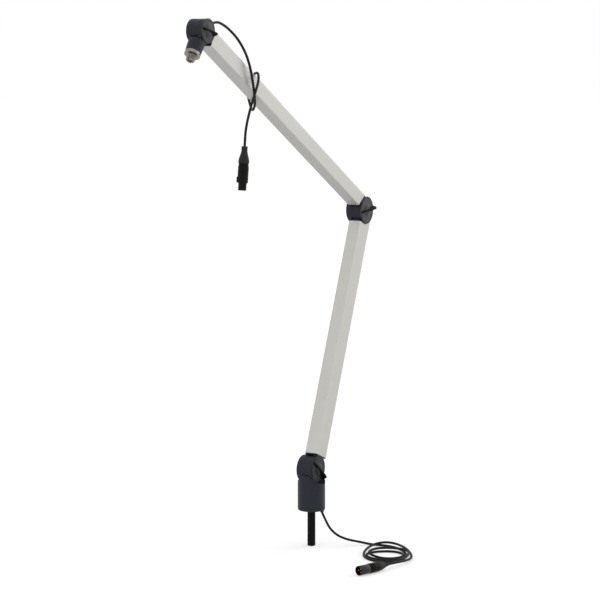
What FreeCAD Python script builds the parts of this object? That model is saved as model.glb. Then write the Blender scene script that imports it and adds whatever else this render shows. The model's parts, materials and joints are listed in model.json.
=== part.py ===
"""Microphone boom arm: a two-section arm on a swivelling base, with clamp knobs and two cables.

Millimetres. +Z is up, the origin lies on the base pin's axis at the bottom face of the base,
the three hinges run along Y with their knobs on the -Y side, and the microphone end points to -X.
"""
import FreeCAD
import Part
import Sketcher
import math
import os
import re

from FreeCAD import Placement, Rotation, Vector

# Driving dimensions: name, millimetres or degrees, what it measures.
SIZES = (
    ("pin_dia", 16.0, "base pin, the size of a 5/8 inch stud"),
    ("pin_drop", 74.0, "pin length below the base"),
    ("pin_chamfer", 1.2, "bevel on both ends of the pin"),
    ("pin_neck_dia", 17.0, "pin inside the cap, a shoulder over the free length"),
    ("pin_over", 2.0, "pin standing over the top of its bush"),
    ("pin_room", 1.5, "free space over the pin"),
    ("collar_dia", 24.0, "collar that keeps the pin in the base"),
    ("collar_height", 4.0, "height of that collar"),
    ("swivel_gap", 0.1, "axial play of the swivel"),
    ("swivel_washer", 1.5, "thickness of both swivel washers"),
    ("bush_wall", 3.0, "wall of the swivel bush"),
    ("bush_height", 30.0, "height of the swivel bush"),
    ("run_clear", 0.05, "radial clearance of a running or push fit"),
    ("housing_dia", 55.0, "base drum"),
    ("cap_height", 7.0, "bottom cap, up to the seam"),
    ("cap_round", 1.5, "rounding of the cap's lower edge"),
    ("cap_clear", 0.3, "room round the pin in the cap"),
    ("seam_width", 0.7, "seam line between cap and drum, height"),
    ("seam_depth", 0.6, "seam line, depth"),
    ("collar_room", 5.0, "room round the collar inside the drum"),
    ("hinge_height", 82.3, "tilt hinge above the base face"),
    ("horn_drop", 9.0, "how far the drum's rim stays below the hinge"),
    ("saddle_clear", 0.3, "room between saddle and the larger of knuckle and knob"),
    ("cap_screw_dia", 3.0, "screws under the cap, shank"),
    ("cap_screw_head", 5.6, "screws under the cap, head"),
    ("cap_screw_sink", 2.0, "depth of the head in the cap"),
    ("cap_screw_length", 12.0, "whole length of a cap screw"),
    ("arm_width", 26.4, "both arm profiles across the hinge direction"),
    ("wall_thick", 2.0, "wall of both arm profiles"),
    ("lower_depth", 45.0, "lower profile, front to back"),
    ("lower_round", 3.0, "lower profile's corners"),
    ("lower_offset", 6.65, "lower profile's middle behind its hinges"),
    ("lower_horn", 15.0, "back of the lower profile past its elbow end"),
    ("lower_reach", 547.1, "base hinge to elbow hinge"),
    ("lower_lean", 23.08, "lean of the lower arm at rest, from upright"),
    ("upper_depth", 33.7, "upper profile, bottom to top"),
    ("upper_top_round", 8.0, "upper profile's two top corners"),
    ("upper_low_round", 2.6, "upper profile's two bottom corners"),
    ("upper_offset", 11.75, "upper profile's middle above the elbow hinge"),
    ("upper_reach", 721.7, "elbow hinge to head hinge along the profile"),
    ("upper_rise", 28.56, "slope of the upper arm at rest"),
    ("mitre_angle", 28.0, "slope of the cut at the upper arm's elbow end"),
    ("knuckle_dia", 54.0, "base and elbow knuckles"),
    ("head_knuckle_dia", 43.0, "head knuckle"),
    ("tongue_width", 12.0, "middle leaf of a clamp joint"),
    ("tongue_clear", 0.2, "tongue's radius below its knuckle's"),
    ("friction_gap", 0.8, "space for a friction washer on each side of the tongue"),
    ("washer_inset", 0.4, "friction washers' radius below their knuckle's"),
    ("face_gap", 0.05, "play on each face of a friction washer"),
    ("slot_clear", 0.5, "room past the knuckle's rim"),
    ("plate_thick", 1.6, "black lip on the end of a profile"),
    ("neck_width", 24.0, "neck between knuckle and lip"),
    ("plug_length", 30.0, "plug inside a profile"),
    ("plug_clear", 0.1, "room round a plug"),
    ("wire_clear", 0.3, "room round the cable inside a plug"),
    ("plug_screw_dia", 3.8, "headless screws that hold the plugs"),
    ("plug_screw_length", 8.0, "length of those screws"),
    ("plug_screw_pitch", 16.0, "spacing of the two screws in a plug"),
    ("hex_socket", 2.0, "hexagon socket of the headless screws"),
    ("bolt_dia", 8.0, "clamp bolts"),
    ("bolt_head_dia", 13.0, "clamp bolt's head"),
    ("bolt_head_height", 3.5, "clamp bolt's head, thickness"),
    ("cap_recess_clear", 0.3, "room round the bolt head in the far cap"),
    ("far_cap_height", 7.8, "far caps of base and elbow"),
    ("far_cap_round", 3.5, "edge of those caps"),
    ("head_cap_height", 4.8, "far cap of the head joint"),
    ("head_cap_round", 1.5, "edge of that cap"),
    ("knob_dia", 56.0, "knob discs of base and elbow"),
    ("head_knob_dia", 43.6, "knob disc of the head joint"),
    ("knob_gap", 0.3, "knob disc to the cheek"),
    ("knob_thick", 2.6, "knob disc"),
    ("wing_length", 27.6, "lever of the large knobs, middle to tip"),
    ("wing_back", 26.5, "lever of the large knobs, middle to its low end"),
    ("wing_width", 10.0, "that lever at its foot"),
    ("wing_height", 8.3, "that lever above the disc at its tip"),
    ("head_wing_length", 21.0, "lever of the head knob, middle to tip"),
    ("head_wing_back", 20.0, "lever of the head knob, middle to its low end"),
    ("head_wing_width", 8.5, "head lever at its foot"),
    ("head_wing_height", 7.0, "head lever above the disc at its tip"),
    ("ridge_length", 8.0, "stretch of a lever at its full height"),
    ("ridge_width", 1.2, "lever along its ridge"),
    ("wing_sink", 0.5, "foot of lever and boss below the disc's face"),
    ("hub_dia", 20.0, "round boss over the nut"),
    ("hub_top_dia", 17.0, "that boss at its top"),
    ("hub_height", 3.8, "that boss above the disc"),
    ("base_wing_angle", -44.0, "base lever at rest, from +X"),
    ("elbow_wing_angle", 7.0, "elbow lever at rest, from +X"),
    ("head_wing_angle", -15.0, "head lever at rest, from +X"),
    ("spring_dia", 18.0, "disc spring under a knob"),
    ("spring_height", 1.4, "disc spring, whole height"),
    ("spring_sheet", 0.7, "disc spring, sheet thickness"),
    ("knob_recess", 1.5, "recess under the knob for the spring"),
    ("nut_dia", 14.4, "knob nut across corners"),
    ("nut_height", 3.5, "knob nut"),
    ("nut_room", 0.3, "free space over the nut"),
    ("sleeve_tilt", 35.5, "microphone sleeve from straight down, towards -X"),
    ("sleeve_gap", 0.5, "yoke rim to the top of the sleeve"),
    ("sleeve_top_dia", 30.6, "sleeve at the knuckle"),
    ("sleeve_end_dia", 28.6, "sleeve at the collar"),
    ("sleeve_end", 46.0, "head hinge to the end of the sleeve"),
    ("sleeve_edge", 1.0, "rounding of the sleeve's edges"),
    ("flange_dia", 25.6, "bridge of the yoke, inside the sleeve"),
    ("flange_height", 2.6, "height of that bridge"),
    ("stem_dia", 18.0, "yoke's stem in the sleeve"),
    ("stem_end", 40.0, "head hinge to the stem's end"),
    ("collar_ring_dia", 28.4, "nickel collar"),
    ("collar_ring_height", 6.5, "nickel collar, length"),
    ("collar_edge", 0.6, "collar's bevels"),
    ("set_screw_dia", 3.0, "set screws of the collar"),
    ("stud_dia", 9.5, "3/8 inch stud"),
    ("stud_root", 30.0, "head hinge to the stud's root"),
    ("adapter_dia", 15.88, "5/8 inch thread"),
    ("adapter_length", 11.0, "thread adapter's free thread"),
    ("adapter_root_dia", 17.0, "thread adapter inside the collar"),
    ("adapter_slot", 2.0, "screwdriver slot, width"),
    ("adapter_slot_depth", 2.5, "screwdriver slot, depth"),
    ("cord_dia", 4.8, "both cables"),
    ("gland_dia", 11.0, "flange of a cable gland"),
    ("gland_flange", 1.5, "thickness of that flange"),
    ("gland_neck_dia", 8.8, "gland where it goes through a wall"),
    ("gland_tip_dia", 6.4, "gland at its tip"),
    ("base_gland_length", 6.0, "base gland below the cap"),
    ("base_gland_circle", 21.0, "base gland from the pin's axis"),
    ("base_gland_angle", -61.6, "base gland, direction from +X"),
    ("head_gland_turn", 48.0, "head gland's direction from the arm's, round the head hinge"),
    ("head_gland_sink", 7.0, "head gland inside its knuckle"),
    ("head_gland_length", 12.0, "head gland above its knuckle"),
    ("socket_dia", 19.8, "cable socket's shell"),
    ("socket_nose_dia", 15.2, "cable socket's nose"),
    ("socket_bore", 12.8, "cable socket's bore"),
    ("socket_boot_length", 30.6, "socket's boot"),
    ("socket_boot_neck", 12.2, "slim end of the socket's boot"),
    ("socket_boot_edge", 3.1, "wide end of the socket's boot"),
    ("socket_boot_dia", 11.6, "socket's boot at the cable"),
    ("socket_ring_length", 5.4, "socket's ring"),
    ("socket_ring_dia", 18.4, "socket's ring across"),
    ("socket_shell_length", 30.5, "socket's shell without the nose"),
    ("socket_nose_length", 13.5, "socket's nose"),
    ("contact_dia", 3.0, "contacts of the socket, outside"),
    ("contact_sink", 1.0, "contacts below the nose's face"),
    ("contact_bore", 2.4, "contacts of the socket, bore"),
    ("contact_circle", 7.2, "circle of the three contacts or pins"),
    ("latch_width", 6.0, "release tab, width"),
    ("latch_length", 10.0, "release tab, length"),
    ("latch_foot", 7.9, "release tab's inner face from the axis"),
    ("latch_top", 11.3, "release tab's outer face from the axis"),
    ("latch_slope", 12.0, "bevel of the release tab"),
    ("latch_clear", 0.3, "room round the tab"),
    ("plug_dia", 19.0, "cable plug's shell"),
    ("plug_bore", 16.2, "cable plug's mouth"),
    ("plug_boot_length", 27.0, "plug's boot"),
    ("plug_boot_edge", 4.0, "wide end of the plug's boot"),
    ("plug_boot_dia", 7.2, "plug's boot at the cable"),
    ("plug_ring_length", 4.0, "plug's ring"),
    ("plug_ring_dia", 17.4, "plug's ring across"),
    ("plug_shell_length", 43.0, "plug's shell"),
    ("plug_mouth", 22.0, "depth of the plug's mouth"),
    ("plug_floor", 5.0, "insert behind the mouth"),
    ("plug_pin_dia", 2.4, "plug's pins"),
    ("plug_pin_length", 14.0, "plug's pins in the mouth"),
    ("coil_across", 92.6, "coil, outer loop across"),
    ("coil_along", 150.0, "coil, outer loop along"),
    ("coil_layer", 5.5, "coil, from one layer to the next"),
    ("coil_run_in", 10.0, "straight cable before the coil"),
    ("coil_lift", 0.1, "coil above the surface"),
)

# Cable routes, chosen by hand. Both end where the next piece begins, face to face.
HEAD_ROUTE = (
    (-369.2, 0.0, 956.7),
    (-355.0, -0.5, 958.4),
    (-340.5, -1.5, 955.6),
    (-322.5, -4.5, 947.5),
    (-297.4, -9.5, 929.5),
    (-281.6, -16.5, 904.0),
    (-275.6, -21.5, 880.0),
    (-269.0, -21.8, 861.5),
    (-262.6, -21.0, 843.0),
    (-259.0, -20.4, 826.0),
    (-250.5, -15.0, 809.5),
    (-234.0, 0.0, 798.4),
    (-220.5, 15.5, 804.5),
    (-213.0, 22.0, 823.0),
    (-211.5, 22.5, 845.0),
    (-213.5, 13.0, 863.0),
    (-220.5, -3.5, 870.5),
    (-231.0, -17.5, 870.5),
    (-243.0, -24.5, 861.5),
    (-255.0, -27.4, 851.0),
    (-267.0, -28.2, 837.5),
    (-276.0, -27.5, 820.0),
    (-283.5, -25.5, 801.0),
    (-290.5, -23.2, 779.5),
    (-295.2, -20.9, 758.9),
)
BASE_ROUTE = (
    (9.99, -18.47, -15.0),
    (12.4, -23.0, -25.0),
    (16.2, -30.1, -34.0),
    (21.2, -39.4, -42.2),
    (27.6, -51.2, -50.2),
    (36.7, -68.1, -57.8),
    (46.2, -85.8, -64.8),
)
SOCKET_TOP = Vector(-296.6, -20.0, 736.0)
SOCKET_TIP = Vector(-301.4, -17.0, 657.1)
PLUG_BACK = (-91.0, -213.0)
PLUG_HEADING = 157.6
COIL_MIDDLE = (-4.7, -171.2)
COIL_HEADING = -61.7
COIL_MOUTH = (57.8, -121.7)
COIL_MOUTH_HEADING = -76.7
# The coil at each quarter turn: share of its outer loop's reach, and layer. It starts on the right
# and goes round by the near side; the loops draw in on the floor, then widen over the first ones.
COIL_QUARTERS = (
    (0.77, 0.0),
    (0.50, 0.0),
    (0.86, 0.0),
    (0.38, 0.0),
    (0.63, 0.0),
    (0.35, 0.0),
    (0.69, 1.0),
    (0.46, 1.0),
    (0.885, 1.0),
    (0.71, 0.0),
    (1.0, 0.0),
    (0.99, 1.2),
    (1.0, 0.0),
)
# Share of a straight run that a bend of a cable takes up.
BEND_SHARE = 0.45
# The three contacts of a connector, round its axis from the release tab.
CONTACT_ANGLES = (180, 300, 60)

doc = FreeCAD.newDocument("boom_arm")
sheet = doc.addObject("Spreadsheet::Sheet", "Sizes")
for row, (alias, number, note) in enumerate(SIZES, 1):
    sheet.set("A%d" % row, note)
    sheet.set("B%d" % row, str(number))
    sheet.setAlias("B%d" % row, alias)
doc.recompute()

pieces = []

X_AXIS = Vector(1, 0, 0)
Y_AXIS = Vector(0, 1, 0)
Z_AXIS = Vector(0, 0, 1)
TO_NEAR = Rotation(X_AXIS, 90)
TO_BACK = Rotation(Y_AXIS, 90)
ORIGIN = ("0", "0", "0")


def bound(text):
    """Formula in the names of sizes, as the spreadsheet's own names."""
    return re.sub(r"\b([a-z]+(?:_[a-z]+)+)\b", r"Sizes.\1", text)


def value(text):
    """Number that a formula in the names of sizes gives now."""
    return float(sheet.evalExpression(bound(text)))


def keep(item, label, frame=Placement()):
    """Finish a piece: its name, its place, and its entry in the list that is written out."""
    item.Label = label
    item.Placement = frame
    pieces.append(item)
    return item


def solid(kind, at=ORIGIN, turn=Rotation(), **sizes):
    """Primitive whose sizes and place are formulas, turned about its own base point."""
    item = doc.addObject("Part::" + kind, kind.lower())
    item.Placement = Placement(Vector(), turn)
    for name, text in sizes.items():
        item.setExpression(name, bound(text))
    for letter, text in zip("xyz", at):
        item.setExpression("Placement.Base." + letter, bound(text))
    return item


def box_between(low, high, frame=Placement()):
    """Box between two corners given as formulas, in a frame of its own."""
    spans = ["(%s) - (%s)" % (top, bottom) for bottom, top in zip(low, high)]
    item = doc.addObject("Part::Box", "block")
    for name, text in zip(("Length", "Width", "Height"), spans):
        item.setExpression(name, bound(text))
    corner = Vector(*[value(text) for text in low])
    item.Placement = frame.multiply(Placement(corner, Rotation()))
    return item


def fuse(*items):
    """Union of several objects."""
    whole = doc.addObject("Part::MultiFuse", "union")
    whole.Shapes = list(items)
    return whole


def cut(base, *tools):
    """One object less several others."""
    rest = doc.addObject("Part::Cut", "cut")
    rest.Base = base
    rest.Tool = tools[0] if len(tools) == 1 else fuse(*tools)
    return rest


def shared(first, second):
    """What two objects have in common."""
    both = doc.addObject("Part::MultiCommon", "common")
    both.Shapes = [first, second]
    return both


def group(label, items, frame=Placement()):
    """Several like solids kept as one piece."""
    whole = doc.addObject("Part::Compound", label)
    whole.Links = list(items)
    return keep(whole, label, frame)


def outline(body, role, points, name):
    """Closed sketch on one of the body's own planes, every corner bound to two formulas."""
    sketch = body.newObject("Sketcher::SketchObject", name)
    plane = [feature for feature in body.Origin.OriginFeatures if feature.Role == role][0]
    sketch.AttachmentSupport = [(plane, "")]
    sketch.MapMode = "FlatFace"
    corners = [Vector(value(across), value(along), 0) for across, along in points]
    last = len(corners) - 1
    for index, corner in enumerate(corners):
        following = corners[0 if index == last else index + 1]
        sketch.addGeometry(Part.LineSegment(corner, following), False)
    for index, (across, along) in enumerate(points):
        following = 0 if index == last else index + 1
        sketch.addConstraint(Sketcher.Constraint("Coincident", index, 2, following, 1))
        for kind, text in (("DistanceX", across), ("DistanceY", along)):
            place = sketch.addConstraint(Sketcher.Constraint(kind, -1, 1, index, 1, value(text)))
            sketch.setExpression("Constraints[%d]" % place, bound(text))
    return sketch


def rounded(body, feature, radius, wanted):
    """Fillet on those edges of a feature that a test picks."""
    doc.recompute()
    names = ["Edge%d" % (n + 1) for n, edge in enumerate(feature.Shape.Edges) if wanted(edge)]
    fillet = body.newObject("PartDesign::Fillet", body.Name + "_round")
    fillet.Base = (feature, names)
    fillet.setExpression("Radius", bound(radius))
    return fillet


def turned(name, points, rounds=()):
    """Turned body about Z from a profile of (radius, height) formulas, with some corners rounded."""
    body = doc.addObject("PartDesign::Body", name)
    sketch = outline(body, "XZ_Plane", points, name + "_profile")
    feature = body.newObject("PartDesign::Revolution", name + "_turn")
    feature.Profile = sketch
    feature.ReferenceAxis = (sketch, ["V_Axis"])
    feature.Angle = 360
    for corner, radius in rounds:
        reach, level = (value(text) for text in points[corner])

        def on_corner(edge, reach=reach, level=level):
            box = edge.BoundBox
            flat = box.ZLength < 1e-4 and abs(box.ZMin - level) < 1e-4
            return flat and abs(box.XMax - reach) < 1e-4 and abs(box.YMax - reach) < 1e-4

        feature = rounded(body, feature, radius, on_corner)
    return body


def bar(name, depth, width, length, high_round, low_round):
    """Rectangular bar about Z, from z = 0 up, its +X and -X corners rounded separately."""
    body = doc.addObject("PartDesign::Body", name)
    across = "(%s) / 2" % depth
    beside = "(%s) / 2" % width
    corners = (
        ("-" + across, "-" + beside),
        (across, "-" + beside),
        (across, beside),
        ("-" + across, beside),
    )
    sketch = outline(body, "XY_Plane", corners, name + "_section")
    feature = body.newObject("PartDesign::Pad", name + "_pad")
    feature.Profile = sketch
    feature.setExpression("Length", bound(length))
    for side, radius in ((1, high_round), (-1, low_round)):
        def along_side(edge, side=side):
            box = edge.BoundBox
            upright = box.ZLength > 1 and box.XLength < 1e-4 and box.YLength < 1e-4
            return upright and abs(box.XMin - side * value(across)) < 1e-4

        feature = rounded(body, feature, radius, along_side)
    return body


def screw(at, length, turn):
    """Headless screw with a hexagon socket in its outer end, which is its base point."""
    shank = solid("Cylinder", at, turn, Radius="plug_screw_dia / 2", Height=length)
    socket = solid("Prism", at, turn, Circumradius="hex_socket / 2", Height="hex_socket")
    socket.Polygon = 6
    return cut(shank, socket)


# Base: pin, swivel bearing, drum and bottom cap.
COLLAR_FOOT = "cap_height + swivel_washer + swivel_gap"
COLLAR_TOP = COLLAR_FOOT + " + collar_height"
THRUST_FOOT = COLLAR_TOP + " + swivel_gap"
BUSH_FOOT = THRUST_FOOT + " + swivel_washer"
BUSH_TOP = BUSH_FOOT + " + bush_height"
PIN_TOP = BUSH_TOP + " + pin_over"
CAVITY_RADIUS = "collar_dia / 2 + collar_room"
SCREW_CIRCLE = "(housing_dia / 2 + collar_dia / 2 + collar_room) / 2"
TONGUE = "tongue_width / 2"
HALF_ARM = "arm_width / 2"


def ring(name, bore, outer, foot, height):
    """Plain washer or bush about Z."""
    top = "%s + %s" % (foot, height)
    return turned(name, ((bore, foot), (outer, foot), (outer, top), (bore, top)))


def spigot_pin():
    """Base pin with the collar that holds it in the drum."""
    body = turned("spigot_pin", (
        ("0", "-pin_drop"),
        ("pin_dia / 2 - pin_chamfer", "-pin_drop"),
        ("pin_dia / 2", "-pin_drop + pin_chamfer"),
        ("pin_dia / 2", "0"),
        ("pin_neck_dia / 2", "0"),
        ("pin_neck_dia / 2", COLLAR_FOOT),
        ("collar_dia / 2", COLLAR_FOOT),
        ("collar_dia / 2", COLLAR_TOP),
        ("pin_dia / 2", COLLAR_TOP),
        ("pin_dia / 2", PIN_TOP + " - pin_chamfer"),
        ("pin_dia / 2 - pin_chamfer", PIN_TOP),
        ("0", PIN_TOP),
    ))
    keep(body, "spigot_pin")


def swivel_bearing():
    """Bush and the two washers above and below the pin's collar."""
    bore = "pin_dia / 2 + run_clear"
    outer = "pin_dia / 2 + bush_wall"
    keep(ring("swivel_bush", bore, outer, BUSH_FOOT, "bush_height"), "swivel_bush")
    edge = "collar_dia / 2"
    over = ring("thrust_washer", "pin_dia / 2 + cap_clear", edge, THRUST_FOOT, "swivel_washer")
    keep(over, "thrust_washer")
    under = ring("drag_washer", "pin_neck_dia / 2 + cap_clear", edge, "cap_height", "swivel_washer")
    keep(under, "drag_washer")


def cap_screw_places():
    """The three screws, spaced evenly and clear of the cable gland."""
    angles = ["(base_gland_angle + %d)" % step for step in (60, 180, 300)]
    reach = "(%s)" % SCREW_CIRCLE
    return [("%s * cos(%s)" % (reach, a), "%s * sin(%s)" % (reach, a)) for a in angles]


def base_drum():
    """Drum with the saddle for the knuckle, the tilt joint's tongue and the bearing's bores."""
    top = "hinge_height - horn_drop"
    drum = solid("Cylinder", ("0", "0", "cap_height"), Radius="housing_dia / 2",
                 Height=top + " - cap_height")
    saddle_radius = "max(knuckle_dia; knob_dia) / 2 + saddle_clear"
    saddle = solid("Cylinder", ("0", "housing_dia", "hinge_height"), TO_NEAR, Radius=saddle_radius,
                   Height="housing_dia * 2")
    leaf = solid("Cylinder", ("0", TONGUE, "hinge_height"), TO_NEAR,
                 Radius="knuckle_dia / 2 - tongue_clear", Height="tongue_width")
    root = "hinge_height - (%s) - plate_thick" % saddle_radius
    crest = "hinge_height - knuckle_dia / 2 - slot_clear - plate_thick + neck_width / 4"
    foot = box_between(("-neck_width / 2", "-" + TONGUE, root), ("neck_width / 2", TONGUE, crest))
    bores = [
        solid("Cylinder", ("0", "0", "cap_height"), Radius=CAVITY_RADIUS,
              Height="(%s) - cap_height" % BUSH_FOOT),
        solid("Cylinder", ("0", "0", BUSH_FOOT), Radius="pin_dia / 2 + bush_wall + run_clear",
              Height="bush_height"),
        solid("Cylinder", ("0", "0", BUSH_TOP), Radius="pin_dia / 2 + pin_over",
              Height="pin_over + pin_room"),
        solid("Cylinder", ("0", "tongue_width", "hinge_height"), TO_NEAR,
              Radius="bolt_dia / 2 + run_clear", Height="tongue_width * 2"),
    ]
    for x, y in cap_screw_places():
        bores.append(solid("Cylinder", (x, y, "cap_height"), Radius="cap_screw_dia / 2 + run_clear",
                           Height="cap_screw_length"))
    keep(cut(fuse(cut(drum, saddle), leaf, foot), *bores), "base_housing")


def base_bottom():
    """Bottom cap with its seam, screws and cable gland."""
    plate = turned("base_cap_ring", (
        ("pin_neck_dia / 2 + cap_clear", "0"),
        ("housing_dia / 2", "0"),
        ("housing_dia / 2", "cap_height - seam_width"),
        ("housing_dia / 2 - seam_depth", "cap_height - seam_width"),
        ("housing_dia / 2 - seam_depth", "cap_height"),
        ("pin_neck_dia / 2 + cap_clear", "cap_height"),
    ), rounds=((1, "cap_round"),))
    holes = []
    screws = []
    for x, y in cap_screw_places():
        holes.append(solid("Cylinder", (x, y, "0"), Radius="cap_screw_dia / 2 + run_clear",
                           Height="cap_height"))
        holes.append(solid("Cylinder", (x, y, "0"), Radius="cap_screw_head / 2 + run_clear",
                           Height="cap_screw_sink"))
        shank = solid("Cylinder", (x, y, "0"), Radius="cap_screw_dia / 2", Height="cap_screw_length")
        head = solid("Cylinder", (x, y, "0"), Radius="cap_screw_head / 2", Height="cap_screw_sink")
        socket = solid("Prism", (x, y, "0"), Circumradius="hex_socket / 2", Height="cap_screw_sink / 2")
        socket.Polygon = 6
        screws.append(cut(fuse(shank, head), socket))
    gland_x = "base_gland_circle * cos(base_gland_angle)"
    gland_y = "base_gland_circle * sin(base_gland_angle)"
    holes.append(solid("Cylinder", (gland_x, gland_y, "0"), Radius="gland_neck_dia / 2 + run_clear",
                       Height="cap_height"))
    keep(cut(plate, *holes), "base_cap")
    group("base_cap_screws", screws)
    gland = turned("base_cable_gland", (
        ("0", "-base_gland_length"),
        ("gland_tip_dia / 2", "-base_gland_length"),
        ("gland_neck_dia / 2", "-gland_flange"),
        ("gland_dia / 2", "-gland_flange"),
        ("gland_dia / 2", "0"),
        ("gland_neck_dia / 2", "0"),
        ("gland_neck_dia / 2", "cap_height"),
        ("0", "cap_height"),
    ))
    keep(gland, "base_cable_gland", Placement(Vector(value(gland_x), value(gland_y), 0), Rotation()))


# The frames of the arm: each has its Z along its part of the arm.
base_hinge = Vector(0, 0, value("hinge_height"))
lower_frame = Placement(base_hinge, Rotation(Y_AXIS, value("lower_lean")))
elbow_hinge = lower_frame.multVec(Vector(0, 0, value("lower_reach")))
upper_frame = Placement(elbow_hinge, Rotation(Y_AXIS, value("upper_rise - 90")))
head_hinge = upper_frame.multVec(Vector(value("upper_offset"), 0, value("upper_reach")))
head_frame = Placement(head_hinge, Rotation(Y_AXIS, value("180 + sleeve_tilt")))
REVERSED = Rotation(Y_AXIS, 180)


def rim(drum_dia):
    """Distance from a hinge to the inner face of a lip."""
    return "%s / 2 + slot_clear" % drum_dia


def seat(drum_dia):
    """Distance from a hinge to the end of the profile."""
    return rim(drum_dia) + " + plate_thick"


def screw_levels(drum_dia):
    """Two screw places along a plug, from its hinge."""
    middle = seat(drum_dia) + " + plug_length / 2"
    return [middle + " %s plug_screw_pitch / 2" % sign for sign in "-+"]


def section_inside(text, clear="0"):
    """Size of a profile's inside, less a clearance all round."""
    return "%s - 2 * wall_thick - 2 * (%s)" % (text, clear)


def inner_round(text):
    """Inner corner of a profile, from its outer one."""
    return "max(%s - wall_thick; wall_thick / 6)" % text


def drum_hub(drum_dia, forked, slope):
    """Knuckle about Y with its neck along Z, forked or a single leaf, turned by a slope."""
    width = "arm_width" if forked else "tongue_width"
    radius = "%s / 2" % drum_dia if forked else "%s / 2 - tongue_clear" % drum_dia
    half = width + " / 2"
    drum = solid("Cylinder", ("0", half, "0"), TO_NEAR, Radius=radius, Height=width)
    neck = box_between(("-neck_width / 2", "-" + half, "0"), ("neck_width / 2", half, rim(drum_dia)))
    tools = [solid("Cylinder", ("0", "arm_width", "0"), TO_NEAR, Radius="bolt_dia / 2 + run_clear",
                   Height="arm_width * 2")]
    if forked:
        side = TONGUE + " + friction_gap"
        tools.append(box_between(("-" + drum_dia, "-(%s)" % side, "-" + drum_dia),
                                 (drum_dia, side, rim(drum_dia))))
    hub = cut(fuse(drum, neck), *tools)
    hub.Placement = Placement(Vector(), slope)
    return hub


def arm_end(label, frame, drum_dia, forked, depth, rounds, offset, slope=Rotation(), horned=False):
    """Knuckle on a profile's end: hub, lip over the end and plug inside, screwed from the far side."""
    hub = drum_hub(drum_dia, forked, slope)
    lip_foot = rim(drum_dia)
    lip_top = seat(drum_dia)
    reach = lip_top + " + plug_length"
    sloped = Placement(Vector(), slope)
    far = "%s * 2" % depth
    inner = [inner_round(text) for text in rounds]
    skin = bar(label + "_skin", depth, "arm_width", reach, *rounds)
    core = bar(label + "_core", section_inside(depth, "plug_clear"),
               section_inside("arm_width", "plug_clear"), reach, *inner)
    for item in (skin, core):
        item.setExpression("Placement.Base.x", bound(offset))
    slab = box_between(("-" + far, "-arm_width", lip_foot), (far, "arm_width", lip_top), sloped)
    lip = shared(skin, slab)
    if horned:
        # The back of this profile runs on past the lip, which stays inside its walls there.
        inside = bar(label + "_inside", section_inside(depth), section_inside("arm_width"), reach, *inner)
        inside.setExpression("Placement.Base.x", bound(offset))
        behind = box_between(("-" + far, "-arm_width", lip_foot), ("0", "arm_width", lip_top))
        lip = cut(lip, cut(behind, inside))
    plug = cut(core, box_between(("-" + far, "-arm_width", "-" + far), (far, "arm_width", lip_top), sloped))
    holes = [solid("Cylinder", (offset, "0", "0"), Radius="cord_dia / 2 + wire_clear",
                   Height=reach + " + plug_clear")]
    for level in screw_levels(drum_dia):
        holes.append(solid("Cylinder", (offset, HALF_ARM, level), TO_NEAR,
                           Radius="plug_screw_dia / 2 + run_clear", Height="plug_screw_length"))
    whole = fuse(hub, cut(fuse(lip, plug), *holes))
    if label == "upper_head_knuckle":
        whole = cut(whole, gland_hole())
    keep(whole, label, frame)


def profile(label, depth, rounds, offset, foot, top, levels, frame, extra):
    """Hollow arm profile with holes for the plugs' screws."""
    length = "(%s) - (%s)" % (top, foot)
    skin = bar(label + "_outside", depth, "arm_width", length, *rounds)
    core = bar(label + "_inside", section_inside(depth), section_inside("arm_width"), length,
               *[inner_round(text) for text in rounds])
    for item in (skin, core):
        item.setExpression("Placement.Base.x", bound(offset))
        item.setExpression("Placement.Base.z", bound(foot))
    holes = [solid("Cylinder", (offset, HALF_ARM, level), TO_NEAR, Radius="plug_screw_dia / 2 + run_clear",
                   Height="wall_thick * 2") for level in levels]
    keep(cut(skin, core, *holes, *extra), label, frame)


def inner_cable(label, offset, foot, top, frame):
    """Cable inside a profile, carried in the holes of its two plugs."""
    cable = solid("Cylinder", (offset, "0", foot), Radius="cord_dia / 2", Height="(%s) - (%s)" % (top, foot))
    # The base point is a formula, so a fixed outer frame goes round it.
    holder = doc.addObject("Part::Compound", label)
    holder.Links = [cable]
    keep(holder, label, frame)


def lower_arm():
    """Lower profile, its two knuckles, screws and cable."""
    rounds = ("lower_round", "lower_round")
    foot = seat("knuckle_dia")
    top = "lower_reach - (%s)" % foot
    levels = screw_levels("knuckle_dia")
    levels += ["lower_reach - (%s)" % level for level in screw_levels("knuckle_dia")]
    end = top + " + lower_horn"
    square = box_between(("-lower_depth", "-arm_width", top), ("0", "arm_width", end))
    mouth = solid("Cylinder", ("0", "arm_width", "lower_reach"), TO_NEAR, Radius=foot, Height="arm_width * 2")
    profile("lower_profile", "lower_depth", rounds, "lower_offset", foot, end, levels, lower_frame,
            (square, mouth))
    arm_end("lower_base_knuckle", lower_frame, "knuckle_dia", True, "lower_depth", rounds, "lower_offset")
    elbow_end = Placement(elbow_hinge, lower_frame.Rotation.multiply(REVERSED))
    arm_end("lower_elbow_knuckle", elbow_end, "knuckle_dia", False, "lower_depth", rounds, "-lower_offset",
            horned=True)
    screws = [screw(("lower_offset", HALF_ARM, level), "plug_screw_length", TO_NEAR) for level in levels]
    group("lower_screws", screws, lower_frame)
    inner_cable("lower_inner_cable", "lower_offset", foot, top, lower_frame)


# The head gland sits in the rim of the head knuckle, square to it.
GLAND_FOOT = "head_knuckle_dia / 2 - tongue_clear"
GLAND_ROOT = GLAND_FOOT + " - head_gland_sink"
GLAND_TIP = GLAND_FOOT + " + head_gland_length"
head_end = Placement(head_hinge, upper_frame.Rotation.multiply(REVERSED))
gland_turn = Rotation(Y_AXIS, -value("head_gland_turn"))


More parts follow.
